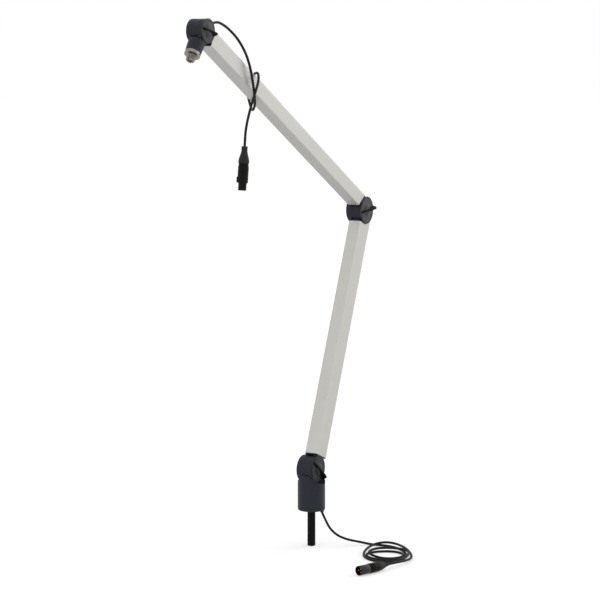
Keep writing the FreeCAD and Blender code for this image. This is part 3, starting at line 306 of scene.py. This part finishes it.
def surface(tree, values, links):
    """Principled surface, as the material's output."""
    made = add(tree, "ShaderNodeBsdfPrincipled", values, links)
    add(tree, "ShaderNodeOutputMaterial", None, {"Surface": made.outputs[0]})


def anodised(name, color, lean):
    """Extruded, fine-blasted and clear anodised aluminium: an even satin grey, with faint die lines
    along the profile every 2 mm or so and a blast grain, drawn at 0.9 mm so that it shows."""
    line_stretch = 0.012
    grain_share = 0.45
    edge_tint = (0.5, 0.5, 0.5, 1.0)
    material = empty_material(name)
    tree = material.node_tree
    place = add(tree, "ShaderNodeTexCoord").outputs["Object"]
    upright = add(tree, "ShaderNodeMapping", {"Rotation": (0.0, lean, 0.0)}, {"Vector": place})
    drawn = add(tree, "ShaderNodeVectorMath", {1: (1.0, 1.0, line_stretch)},
                {0: upright.outputs[0]}, operation="MULTIPLY")
    lines = noise(tree, drawn.outputs[0], grain_mm=2.0, detail=2.0)
    grain = noise(tree, place, grain_mm=0.9, detail=3.0)
    clouds = noise(tree, place, grain_mm=90.0, detail=2.0)
    skin = add(tree, "ShaderNodeMix", {MIX_FACTOR: grain_share},
               {MIX_NUMBER_A: lines, MIX_NUMBER_B: grain}, data_type="FLOAT").outputs[0]
    surface(tree, {"Metallic": 1.0, "Specular Tint": edge_tint}, {
        "Base Color": mottled(tree, skin, color, dark=0.95, pale=1.04),
        "Roughness": spread(tree, clouds, low=0.52, high=0.62),
        "Normal": relief(tree, skin, strength=0.12, depth_mm=0.02),
    })
    return material


def moulded(name, color, grain_mm, roughness, depth_mm, specular=0.5, lever=None):
    """Moulded polymer: a fine spark-eroded skin drawn at grain_mm so that it shows, with slow
    changes of gloss where the skin has been handled. A marked lever has its own colour and a
    quarter of the shine."""
    gloss_change = 0.08
    lever_shine = 0.25
    material = empty_material(name)
    tree = material.node_tree
    place = add(tree, "ShaderNodeTexCoord").outputs["Object"]
    grain = noise(tree, place, grain_mm, detail=2.0)
    wear = noise(tree, place, grain_mm=14.0, detail=4.0)
    tint = mottled(tree, wear, color, dark=0.82, pale=1.2)
    links = {
        "Roughness": spread(tree, wear, roughness - gloss_change, roughness + gloss_change),
        "Normal": relief(tree, grain, strength=0.25, depth_mm=depth_mm),
    }
    if lever is not None:
        mark = piece_mark(tree)
        tint = blended(tree, mark, tint, tuple(lever))
        links["Specular IOR Level"] = spread(tree, mark, specular, specular * lever_shine)
    links["Base Color"] = tint
    surface(tree, {"Specular IOR Level": specular}, links)
    return material


def machined(name, color, roughness, grain_mm, metallic=1.0, specular=0.5, polished=None):
    """Turned or plated metal: tool marks drawn at grain_mm and small stains in the gloss. A black
    layer on the metal shines like a lacquer, so it has no metallic share. Where a piece is
    marked, its colour is painted paler as a painted highlight, and polished is its specular level."""
    smoother = 0.06
    rougher = 0.08
    painted_highlight_gain = 4.0
    material = empty_material(name)
    tree = material.node_tree
    place = add(tree, "ShaderNodeTexCoord").outputs["Object"]
    tooling = noise(tree, place, grain_mm, detail=3.0)
    stains = noise(tree, place, grain_mm=6.0, detail=3.0)
    tint = mottled(tree, stains, color, dark=0.85, pale=1.08)
    links = {
        "Roughness": spread(tree, stains, roughness - smoother, roughness + rougher),
        "Normal": relief(tree, tooling, strength=0.1, depth_mm=0.03),
    }
    if polished is not None:
        mark = piece_mark(tree)
        # Painted highlight: the marked part's colour is painted paler.
        tint = blended(tree, mark, tint, shade(color, painted_highlight_gain))
        links["Specular IOR Level"] = spread(tree, mark, specular, polished)
    links["Base Color"] = tint
    surface(tree, {"Metallic": metallic, "Specular IOR Level": specular}, links)
    return material


def finish_for(slot):
    """Material of one of the record's slots, made when first asked for."""
    name = slot + "_finish"
    found = bpy.data.materials.get(name)
    if found is not None:
        return found
    tone = bpy.context.scene.boom_finishes
    # Glass-filled nylon from a spark-eroded mould, satin and slightly blue.
    if slot == "black_body":
        return moulded(name, tone.body, grain_mm=1.1, roughness=0.46, depth_mm=0.05, specular=0.16)
    # The same nylon on the knobs, their discs paler: partly their own tone, partly painted light.
    if slot == "black_knob":
        return moulded(name, tone.knob, grain_mm=1.1, roughness=0.5, depth_mm=0.05, specular=0.2,
                       lever=tone.lever)
    # Moulded PBT inside the connectors, smooth and dull.
    if slot == "connector_insert":
        return moulded(name, tone.insert, grain_mm=0.8, roughness=0.5, depth_mm=0.02)
    # Soft rubber of boots and glands, dull.
    if slot == "boot_rubber":
        return moulded(name, tone.boot, grain_mm=1.4, roughness=0.62, depth_mm=0.06, specular=0.25)
    # Matt PVC over the braid of a microphone cable.
    if slot == "cable_jacket":
        return moulded(name, tone.jacket, grain_mm=1.2, roughness=0.55, depth_mm=0.05, specular=0.2)
    # Black filled nylon of the washers.
    if slot == "nylon":
        return moulded(name, tone.nylon, grain_mm=1.5, roughness=0.5, depth_mm=0.02)
    # Blackened steel, oiled.
    if slot == "black_steel":
        return machined(name, tone.pin, roughness=0.42, grain_mm=1.0, metallic=0.0, specular=0.06)
    # Bright zinc-plated steel of the fasteners.
    if slot == "steel":
        return machined(name, tone.steel, roughness=0.34, grain_mm=0.8)
    # Satin nickel plate on brass.
    if slot == "nickel":
        return machined(name, tone.nickel, roughness=0.27, grain_mm=0.9)
    # Sintered bronze, oiled.
    if slot == "bronze":
        return machined(name, tone.bronze, roughness=0.4, grain_mm=0.8)
    # Thin gold over nickel.
    if slot == "gold_contact":
        return machined(name, tone.contact, roughness=0.22, grain_mm=0.8)
    # Black chrome over die-cast zinc; the plug's sleeve glossier and with a painted highlight.
    if slot == "connector_shell":
        return machined(name, tone.shell, roughness=0.24, grain_mm=1.0, metallic=0.0, specular=0.1,
                        polished=0.22)
    raise ValueError("no finish for slot " + slot)


def mesh_piece(name, corners, faces, slot, body, marks=None, finish=None):
    """New piece from whole arrays of corners and faces, in metres, riding on a body. It has its
    slot's finish, unless another one is given."""
    mesh = bpy.data.meshes.new(name)
    mesh.from_pydata(corners.tolist(), [], faces)
    mesh.validate()
    mesh.polygons.foreach_set("use_smooth", np.ones(len(mesh.polygons), bool))
    mesh.set_sharp_from_angle(angle=SHARP_ANGLE)
    if marks is not None:
        mesh.attributes.new("mark", "FLOAT", "POINT").data.foreach_set("value", marks)
    piece = bpy.data.objects.new(name, mesh)
    bpy.context.scene.collection.objects.link(piece)
    mesh.materials.append(finish or finish_for(slot))
    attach(piece, body)
    return piece


def closed_grid(rows, columns):
    """Faces of a grid that closes round its columns and ends in one point at each end.

    Corner 0 is the first pole, then come the rows, and the last corner is the second pole."""
    index = 1 + np.arange(rows * columns).reshape(rows, columns)
    ahead = np.roll(index, -1, axis=1)
    quads = np.stack([index[:-1], index[1:], ahead[1:], ahead[:-1]], axis=-1).reshape(-1, 4)
    last = 1 + rows * columns
    first_cap = np.stack([np.zeros(columns, int), index[0], ahead[0]], axis=-1)
    last_cap = np.stack([np.full(columns, last), ahead[-1], index[-1]], axis=-1)
    return quads.tolist() + first_cap.tolist() + last_cap.tolist()


def turned(pairs, columns, middle=(0.0, 0.0)):
    """Closed shell turned about an upright axis through a middle point, from pairs of radius and
    height in millimetres: each pair is one circle, and the first and the last are the poles."""
    radius, level = np.array(pairs).T
    angle = np.arange(columns) * math.tau / columns
    x = middle[0] + radius[1:-1, None] * np.cos(angle)
    y = middle[1] + radius[1:-1, None] * np.sin(angle)
    z = np.repeat(level[1:-1, None], columns, axis=1)
    circles = np.stack([x, y, z], axis=-1).reshape(-1, 3)
    corners = np.vstack([[*middle, level[0]], circles, [*middle, level[-1]]])
    return corners, closed_grid(len(radius) - 2, columns)


def smooth_step(value):
    """Rise from 0 to 1 with level ends."""
    held = np.clip(value, 0.0, 1.0)
    return held * held * (3.0 - 2.0 * held)


def joined(shells):
    """Several shells as one array of corners and one list of faces."""
    faces = []
    count = 0
    for corners, polygons in shells:
        faces += [[corner + count for corner in polygon] for polygon in polygons]
        count += len(corners)
    return np.vstack([corners for corners, polygons in shells]), faces


def disc_shell(radius):
    """Knob's disc with its boss, turned about Z from pairs of radius and height in millimetres.

    The pairs run from the boss over the face with its fine groove, round the rim, and under the
    disc into the recess for spring and nut."""
    boss = (
        (0.0, 19.36), (4.0, 19.35), (7.0, 19.3), (8.5, 19.05), (10.0, 18.3), (11.5, 17.35),
        (12.8, 16.6), (13.8, 16.25), (15.0, KNOB_FACE),
    )
    groove = (
        (radius - 3.6, KNOB_FACE), (radius - 3.4, 15.8), (radius - 3.0, 15.8),
        (radius - 2.8, KNOB_FACE),
    )
    rim = (
        (radius - 0.7, KNOB_FACE), (radius - 0.3, 15.98), (radius - 0.08, 15.7), (radius, 15.3),
        (radius, 13.9), (radius - 0.1, 13.6), (radius - 0.4, 13.5),
    )
    recess = (
        (9.3, 13.5), (9.3, 15.0), (7.25, 15.0), (7.25, 18.8), (4.0, 18.8), (0.0, 18.8),
    )
    return turned(boss + groove + rim + recess, columns=144)


def lever_shell(back, ahead, width, height):
    """Lever along X over a disc's face, in millimetres: a ridge with steep sides and a broad crest,
    whose height and width grow from the low end and whose tip is blunt. Sides and crest meet in
    the softened lesser of the two."""
    sink = 0.5
    full_before_tip = 8.0
    low_crest = 1.2
    crest_power = 0.75
    low_half = 0.26
    half_growth = 0.24
    tip_round = 1.2
    tip_rows = (0.7, 0.3, 0.08, 0.0)
    tip_drop = 0.14
    tip_taper = 0.2
    tip_height = 0.4
    steepness = 1.8
    softness = 0.02
    ridge_rows = 44
    side_points = 25
    along = np.concatenate([
        np.linspace(-back, ahead - tip_round, ridge_rows),
        ahead - np.array(tip_rows),
    ])
    rise = np.clip((along + back) / (ahead - full_before_tip + back), 0.0, 1.0)
    to_tip = np.minimum(ahead - along, tip_round) / tip_round
    near_tip = 1.0 - np.sqrt(np.clip(1.0 - (1.0 - to_tip) ** 2, 0.0, 1.0))
    crest = low_crest + (height - low_crest) * rise ** crest_power
    crest *= 1.0 - tip_drop * near_tip
    half = width * (low_half + half_growth * rise) * (1.0 - tip_taper * near_tip)
    side = np.sin(np.linspace(-math.pi / 2.0, math.pi / 2.0, side_points))
    slope = steepness * (1.0 - np.abs(side))
    roof = 0.5 * (slope + 1.0 - np.sqrt((slope - 1.0) ** 2 + softness))
    across = np.concatenate([side, [1.0, 0.0, -1.0]])
    shape = np.concatenate([roof, np.zeros(3)])
    floor = np.concatenate([np.zeros(len(side)), np.ones(3)])
    x = np.repeat(along[:, None], len(across), axis=1)
    y = half[:, None] * across
    z = KNOB_FACE + crest[:, None] * shape - sink * floor
    sections = np.stack([x, y, z], axis=-1).reshape(-1, 3)
    low_end = (-back, 0.0, KNOB_FACE)
    tip = (ahead, 0.0, KNOB_FACE + tip_height * height)
    return np.vstack([low_end, sections, tip]), closed_grid(len(along), len(across))


def in_joint(corners, hinge, turn):
    """Corners of a joint's frame, turned about its axis, in metres in the arm's frame."""
    cosine = math.cos(turn)
    sine = math.sin(turn)
    x = corners[:, 0] * cosine - corners[:, 1] * sine
    z = corners[:, 0] * sine + corners[:, 1] * cosine
    return (np.stack([x, -corners[:, 2], z], axis=-1) + np.array(hinge)) * MM


def thread_shell(sector, span, outer, pitch, bore, end):
    """Sector of a threaded tube about Z, in millimetres, between two angles and two heights.

    The outer radius is the crest less a triangle wave of height and angle, so that the ridge
    climbs one pitch in a turn; the end is bevelled. Each section runs up the thread, in over the
    top, down the bore and out again."""
    steps_per_radian = 20.0
    least_steps = 8
    rows_per_pitch = 9
    ridge = 0.5
    flank = 1.3
    crest_flat = 0.15
    chamfer = 0.8
    steps = max(int((sector[1] - sector[0]) * steps_per_radian), least_steps)
    rows = int((span[1] - span[0]) / pitch * rows_per_pitch) + 2
    angle = np.linspace(sector[0], sector[1], steps)[:, None]
    height = np.linspace(span[0], span[1], rows)[None, :]
    wave = np.abs(((height / pitch - angle / math.tau) % 1.0) * 2.0 - 1.0)
    depth = ridge * np.clip(wave * flank - crest_flat, 0.0, 1.0)
    bevel = outer / 2.0 - chamfer + np.clip(end - height, 0.0, chamfer)
    radius = np.minimum(outer / 2.0 - depth, bevel)
    inside = np.full((steps, 2), bore)
    inside_levels = np.tile([span[1], span[0]], (steps, 1))
    radii = np.hstack([radius, inside])
    levels = np.hstack([np.repeat(height, steps, axis=0), inside_levels])
    sections = np.stack([radii * np.cos(angle), radii * np.sin(angle), levels], axis=-1)
    first = sections[0].mean(axis=0)
    last = sections[-1].mean(axis=0)
    corners = np.vstack([first, sections.reshape(-1, 3), last])
    return corners, closed_grid(steps, sections.shape[1])


def boot_shell(slim, wide, neck, edge, boot_length):
    """Cable boot turned about Z, in millimetres, slim end at 0: the radius grows along a smooth
    step from the neck to the wide edge, less a cosine wave for the rings of the neck and a
    rounding at both ends."""
    rounding = 0.8
    inset = 1.2
    ring_start = 2.0
    ring_end = 9.5
    ring_fade = 0.4
    ring_pitch = 2.5
    ring_depth = 0.22
    edge_rows = 6
    side_rows = 100
    level = np.concatenate([
        np.linspace(boot_length, boot_length - rounding, edge_rows),
        np.linspace(boot_length - inset, inset, side_rows),
        np.linspace(rounding, 0.0, edge_rows),
    ])
    radius = slim + (wide - slim) * smooth_step((level - neck) / (boot_length - edge - neck))
    ringed = np.clip(np.minimum(level - ring_start, ring_end - level), 0.0, ring_fade) / ring_fade
    radius -= ring_depth * ringed * (1.0 - np.cos((level - ring_start) * math.tau / ring_pitch))
    to_end = np.minimum(np.minimum(level, boot_length - level), rounding) / rounding
    radius -= rounding * (1.0 - np.sqrt(1.0 - (1.0 - to_end) ** 2))
    pairs = np.vstack([(0.0, boot_length), np.column_stack([radius, level]), (0.0, 0.0)])
    return turned(pairs, columns=64)


def pin_shell(middle):
    """Plug's pin along Z, in millimetres: a bar about a middle point, whose radius falls to its
    rounded tip as a quarter circle."""
    radius = 1.2
    tip_rows = 9
    angle = np.linspace(0.0, math.pi / 2.0, tip_rows)
    tip = np.column_stack([radius * np.sin(angle), PIN_TIP - radius + radius * np.cos(angle)])
    pairs = np.vstack([tip, (radius, PIN_FOOT), (0.0, PIN_FOOT)])
    return turned(pairs, columns=24, middle=middle)


def plug_shell():
    """Plug's shell turned about Z from pairs of radius and height in millimetres: up the mouth,
    round the rim, down the polished sleeve, over a groove and down the wider body. Returns the
    marks of the sleeve too."""
    columns = 96
    mouth = ((0.0, 31.3), (4.0, 31.3), (8.1, 31.3), (8.1, 73.6), (8.3, 73.9))
    sleeve = ((8.5, 74.0), (8.75, 74.0), (9.05, 73.85), (9.2, 73.5), (9.2, 50.3), (9.1, 50.0))
    body = (
        (8.8, 49.8), (8.8, 49.3), (9.4, 49.1), (9.6, 48.7), (9.6, 33.0), (9.45, 31.6), (9.2, 31.0),
        (4.0, 31.0), (0.0, 31.0),
    )
    corners, faces = turned(mouth + sleeve + body, columns)
    first = 1 + (len(mouth) - 1) * columns
    marks = np.zeros(len(corners))
    # The sleeve's mark makes it glossier and paler, its paler colour a painted highlight.
    marks[first:first + len(sleeve) * columns] = 1.0
    return corners, faces, marks


def along_way(corners, start, way):
    """Corners turned from Z to another direction, in metres from a starting point."""
    turn = np.array(Vector((0.0, 0.0, 1.0)).rotation_difference(Vector(way)).to_matrix())
    return (corners @ turn.T + np.array(start)) * MM


def bend(start, start_way, end, end_way, count):
    """Points of a cubic from one place and heading to another, without its two ends."""
    arm_share = 0.39
    arm = arm_share * np.linalg.norm(end - start)
    share = np.linspace(0.0, 1.0, count + 2)[1:-1, None]
    rest = 1.0 - share
    pulled = 3.0 * rest ** 2 * share * (start + start_way * arm)
    pushed = 3.0 * rest * share ** 2 * (end - end_way * arm)
    return rest ** 3 * start + pulled + pushed + share ** 3 * end


def coil_points():
    """Points of the coil's turns in millimetres: each quarter is a quarter oval from one reach to
    the next, and its layer changes along a smooth step. A quadratic spline runs inside its
    points, so the reaches are larger by the share that it cuts off."""
    right_angle = math.pi / 2.0
    share_of, layer_of = np.array(COIL_QUARTERS).T
    last = len(COIL_QUARTERS) - 1
    place = np.arange(last * POINTS_PER_QUARTER + 1) / POINTS_PER_QUARTER
    quarter = np.minimum(place.astype(int), last - 1)
    part = place - quarter
    cut_off = (3.0 + math.cos(right_angle / POINTS_PER_QUARTER)) / 4.0
    loop = np.where(np.arange(last + 1) % 2 == 0, COIL_HALF_ACROSS, COIL_HALF_ALONG)
    reach = share_of * loop / cut_off
    heading = COIL_HEADING - quarter * right_angle
    first = reach[quarter] * np.cos(part * right_angle)
    second = reach[quarter + 1] * np.sin(part * right_angle)
    x = COIL_MIDDLE[0] + first * np.cos(heading) + second * np.sin(heading)
    y = COIL_MIDDLE[1] + first * np.sin(heading) - second * np.cos(heading)
    layer = layer_of[quarter] + (layer_of[quarter + 1] - layer_of[quarter]) * smooth_step(part)
    return np.column_stack([x, y, COIL_FLOOR + layer * COIL_LAYER])


def cord_piece(name, points, diameter, body):
    """Cable as a quadratic spline along its route's points, given in millimetres."""
    curve = bpy.data.curves.new(name, "CURVE")
    curve.dimensions = "3D"
    curve.bevel_depth = diameter / 2.0
    curve.bevel_resolution = 6
    curve.resolution_u = 10
    curve.use_fill_caps = True
    spline = curve.splines.new("NURBS")
    spline.points.add(len(points) - 1)
    places = np.column_stack([np.array(points) * MM, np.ones(len(points))])
    spline.points.foreach_set("co", places.ravel())
    spline.order_u = 3
    spline.use_endpoint_u = True
    curve.materials.append(finish_for("cable_jacket"))
    piece = bpy.data.objects.new(name, curve)
    bpy.context.scene.collection.objects.link(piece)
    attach(piece, body)
    return piece


def seen_rays(tree):
    """1 for rays from the camera and for reflected and refracted ones, or else 0."""
    path = add(tree, "ShaderNodeLightPath").outputs
    seen = path["Is Camera Ray"]
    for kind in ("Is Glossy Ray", "Is Transmission Ray"):
        links = {0: seen, 1: path[kind]}
        seen = add(tree, "ShaderNodeMath", None, links, operation="MAXIMUM").outputs[0]
    return seen


class BOOM_OT_camera(bpy.types.Operator):
    """Camera at the photograph's viewing angle."""

    bl_idname = "boom.camera"
    bl_label = "Camera"

    def execute(self, context):
        data = bpy.data.cameras.new("photo_camera")
        data.sensor_width = 36.0
        data.lens = context.scene.boom_stage.lens
        data.clip_end = 200.0
        camera = bpy.data.objects.new("photo_camera", data)
        camera.location = CAMERA_PLACE
        camera.rotation_mode = "QUATERNION"
        camera.rotation_quaternion = (-Vector(CAMERA_BACK)).to_track_quat("-Z", "Y")
        context.scene.collection.objects.link(camera)
        context.scene.camera = camera
        return {"FINISHED"}


class BOOM_OT_boots(bpy.types.Operator):
    """Rubber boots behind the socket and the plug, and the plug's shell and pins."""

    bl_idname = "boom.boots"
    bl_label = "Boots, Shell and Pins"

    def execute(self, context):
        # Each boot's name, the node that it stands for, its body, start, direction and sizes.
        kinds = (
            ("socket_boot", "female_boot", "upper_arm", HEAD_ROUTE[-1], SOCKET_WAY, SOCKET_BOOT),
            ("plug_boot", "male_boot", "base", PLUG_BACK, PLUG_WAY, PLUG_BOOT),
        )
        for name, node, body, start, way, sizes in kinds:
            corners, faces = boot_shell(**sizes)
            boot = mesh_piece(name, along_way(corners, start, way), faces, "boot_rubber", body)
            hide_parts(node)
        # Three gilt pins in the insert's holes, from below its face to just short of the plug's rim.
        turns = [math.radians(degrees) for degrees in PIN_TURNS]
        middles = [(PIN_CIRCLE * math.cos(turn), PIN_CIRCLE * math.sin(turn)) for turn in turns]
        corners, faces = joined([pin_shell(middle) for middle in middles])
        placed = along_way(corners, PLUG_BACK, PLUG_WAY)
        pins = mesh_piece("plug_pins", placed, faces, "gold_contact", "base")
        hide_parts("male_pins")
        corners, faces, marks = plug_shell()
        placed = along_way(corners, PLUG_BACK, PLUG_WAY)
        shell = mesh_piece("plug_shell", placed, faces, "connector_shell", "base", marks)
        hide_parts("male_shell")
        return {"FINISHED"}


class BOOM_OT_cables(bpy.types.Operator):
    """Both free cables, the base cable with its coil."""

    bl_idname = "boom.cables"
    bl_label = "Cables"

    def execute(self, context):
        diameter = context.scene.boom_sizes.cord
        head = cord_piece("head_cord", HEAD_ROUTE, diameter, "upper_arm")
        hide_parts("head_cable")
        base = cord_piece("base_cord", self.base_route(), diameter, "base")
        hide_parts("base_cable", "base_coil")
        return {"FINISHED"}

    def base_route(self):
        """Points of the base cable: down to the coil, round its loops and out to the plug."""
        turns = coil_points()
        mouth_way = np.array([math.cos(COIL_MOUTH_HEADING), math.sin(COIL_MOUTH_HEADING), 0.0])
        near_way = np.array([math.sin(COIL_HEADING), -math.cos(COIL_HEADING), 0.0])
        mouth = np.array(BASE_ROUTE[-1])
        back = np.array(PLUG_BACK)
        plug_way = np.array(PLUG_WAY)
        before = back - plug_way * PLUG_STRAIGHT
        return np.vstack([
            BASE_ROUTE,
            bend(mouth, mouth_way, turns[0], near_way, count=5),
            turns,
            bend(turns[-1], near_way, before, plug_way, count=6),
            before,
            back,
        ])


class BOOM_OT_knobs(bpy.types.Operator):
    """The three clamp knobs, moulded in one with their levers."""

    bl_idname = "boom.knobs"
    bl_label = "Clamp Knobs"

    def execute(self, context):
        # Each knob's joint, hinge and sizes, and the turn of its lever in degrees.
        kinds = (
            ("base", BASE_HINGE, LARGE_KNOB, -44.0),
            ("elbow", ELBOW_HINGE, LARGE_KNOB, 7.0),
            ("head", HEAD_HINGE, SMALL_KNOB, -15.0),
        )
        tone = context.scene.boom_finishes
        # The base joint's knob is the same nylon, its colour painted darker: painted shade for the
        # shade of the arm.
        shaded = moulded("base_knob_finish", tone.base_knob, grain_mm=1.1, roughness=0.5,
                         depth_mm=0.05, specular=0.2, lever=tone.lever)
        for joint, hinge, (radius, lever), turn in kinds:
            shells = (disc_shell(radius), lever_shell(**lever))
            corners, faces = joined(shells)
            marks = np.zeros(len(corners))
            marks[len(shells[0][0]):] = 1.0
            placed = in_joint(corners, hinge, math.radians(turn))
            knob = mesh_piece(joint + "_knob_moulding", placed, faces, "black_knob", joint + "_knob",
                              marks, shaded if joint == "base" else None)
            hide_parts(joint + "_clamp_knob")
        return {"FINISHED"}


class BOOM_OT_thread(bpy.types.Operator):
    """Thread at the head, cut by the slot across its end."""

    bl_idname = "boom.thread"
    bl_label = "Microphone Thread"

    def execute(self, context):
        sizes = context.scene.boom_sizes
        outer = sizes.thread / MM
        pitch = sizes.thread_pitch / MM
        bore = 4.8
        root_diameter = 17.0
        root_foot = 46.1
        foot = 52.5
        end = foot + sizes.thread_length / MM
        slot_depth = 2.5
        half_slot_width = 1.0
        slot_floor = end - slot_depth
        half_slot = math.asin(half_slot_width / (outer / 2.0))
        whole = (0.0, math.tau)
        near = (half_slot, math.pi - half_slot)
        far = (math.pi + half_slot, math.tau - half_slot)
        sectors = (
            (whole, (root_foot, foot), root_diameter),
            (whole, (foot, slot_floor), outer),
            (near, (slot_floor, end), outer),
            (far, (slot_floor, end), outer),
        )
        corners, faces = joined([
            thread_shell(sector, span, diameter, pitch, bore, end)
            for sector, span, diameter in sectors
        ])
        thread = mesh_piece("thread_turns", along_way(corners, HEAD_HINGE, SLEEVE_WAY), faces, "nickel",
                            "head")
        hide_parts("thread_adapter")
        return {"FINISHED"}


class BOOM_OT_finishes(bpy.types.Operator):
    """Materials of all the solids that stay in sight."""

    bl_idname = "boom.finishes"
    bl_label = "Finishes"

    def execute(self, context):
        tone = context.scene.boom_finishes
        arms = {
            "lower_profile": anodised("lower_anodised", tone.anodised, LOWER_LEAN),
            "upper_profile": anodised("upper_anodised", tone.anodised, UPPER_LEAN),
        }
        for part in frame["record"]["subparts"]:
            node = frame["nodes"][part["node"]]
            material = arms.get(part["node"]) or finish_for(part["material_slot"])
            node.data.materials.clear()
            node.data.materials.append(material)
        return {"FINISHED"}


class BOOM_OT_studio(bpy.types.Operator):
    """White floor and backdrop with soft lamps."""

    bl_idname = "boom.studio"
    bl_label = "Studio"

    def execute(self, context):
        stage = context.scene.boom_stage
        self.floor(context, stage)
        self.surround(context, stage)
        # Each lamp's name, the direction that it shines from, its width in degrees and its power.
        lamps = (
            ("key", (0.75, -0.6, 0.35), 60.0, 0.85),
            ("front", (-0.85, 0.1, 0.35), 30.0, 0.14),
            ("top", (-0.3, -0.1, 1.0), 80.0, 0.2),
        )
        for name, place, width, power in lamps:
            data = bpy.data.lights.new(name, "SUN")
            data.angle = math.radians(width)
            data.energy = power
            lamp = bpy.data.objects.new(name, data)
            lamp.location = place
            lamp.rotation_mode = "QUATERNION"
            lamp.rotation_quaternion = (-Vector(place)).to_track_quat("-Z", "Y")
            context.scene.collection.objects.link(lamp)
        context.scene.view_settings.view_transform = "Standard"
        return {"FINISHED"}

    def floor(self, context, stage):
        """Square floor under the pin, white to the camera and in reflections, with its shadow."""
        half = 40.0
        glow = 0.42
        paint_shade = 0.8
        level = stage.floor_level
        corners = [(-half, -half, level), (half, -half, level), (half, half, level),
                   (-half, half, level)]
        mesh = bpy.data.meshes.new("studio_floor")
        mesh.from_pydata(corners, [], [(0, 1, 2, 3)])
        # Matt white paint that glows for the rays that see it, so that it meets the backdrop.
        material = empty_material("studio_white")
        tree = material.node_tree
        paint = add(tree, "ShaderNodeBsdfDiffuse", {"Color": shade(stage.white, paint_shade)})
        light = add(tree, "ShaderNodeEmission", {"Color": tuple(stage.white)},
                    {"Strength": spread(tree, seen_rays(tree), 0.0, glow)})
        both = add(tree, "ShaderNodeAddShader", None, {0: paint.outputs[0], 1: light.outputs[0]})
        add(tree, "ShaderNodeOutputMaterial", None, {"Surface": both.outputs[0]})
        mesh.materials.append(material)
        piece = bpy.data.objects.new("studio_floor", mesh)
        context.scene.collection.objects.link(piece)

    def surround(self, context, stage):
        """World that is white to the camera and in reflections, and an even soft light elsewhere."""
        world = bpy.data.worlds.new("studio_surround")
        world.use_nodes = True
        tree = world.node_tree
        tree.nodes.clear()
        strength = spread(tree, seen_rays(tree), stage.ambient, 1.0)
        light = add(tree, "ShaderNodeBackground", {"Color": tuple(stage.white)},
                    {"Strength": strength})
        add(tree, "ShaderNodeOutputWorld", None, {"Surface": light.outputs[0]})
        context.scene.world = world


class BOOM_PT_panel(bpy.types.Panel):
    """Lists the steps that dress the arm."""

    bl_idname = "BOOM_PT_panel"
    bl_label = "Boom Arm"
    bl_space_type = "VIEW_3D"
    bl_region_type = "UI"
    bl_category = "Boom Arm"

    def draw(self, context):
        for step in STEPS:
            self.layout.operator(step.bl_idname)


SETTINGS = (BoomFinishes, BoomSizes, BoomStage)
STEPS = (BOOM_OT_camera, BOOM_OT_boots, BOOM_OT_cables, BOOM_OT_knobs, BOOM_OT_thread,
         BOOM_OT_finishes, BOOM_OT_studio)
CLASSES = SETTINGS + STEPS + (BOOM_PT_panel,)


def register():
    """Make the settings, the steps and the panel known to Blender."""
    for item in CLASSES:
        bpy.utils.register_class(item)
    bpy.types.Scene.boom_finishes = bpy.props.PointerProperty(type=BoomFinishes)
    bpy.types.Scene.boom_sizes = bpy.props.PointerProperty(type=BoomSizes)
    bpy.types.Scene.boom_stage = bpy.props.PointerProperty(type=BoomStage)


def unregister():
    """Take everything back that register made known."""
    del bpy.types.Scene.boom_finishes
    del bpy.types.Scene.boom_sizes
    del bpy.types.Scene.boom_stage
    for item in reversed(CLASSES):
        bpy.utils.unregister_class(item)


def main():
    """Dress the arm step by step."""
    register()
    bpy.ops.boom.camera()
    bpy.ops.boom.boots()
    bpy.ops.boom.cables()
    bpy.ops.boom.knobs()
    bpy.ops.boom.thread()
    bpy.ops.boom.finishes()
    bpy.ops.boom.studio()


if __name__ == "__main__":
    main()
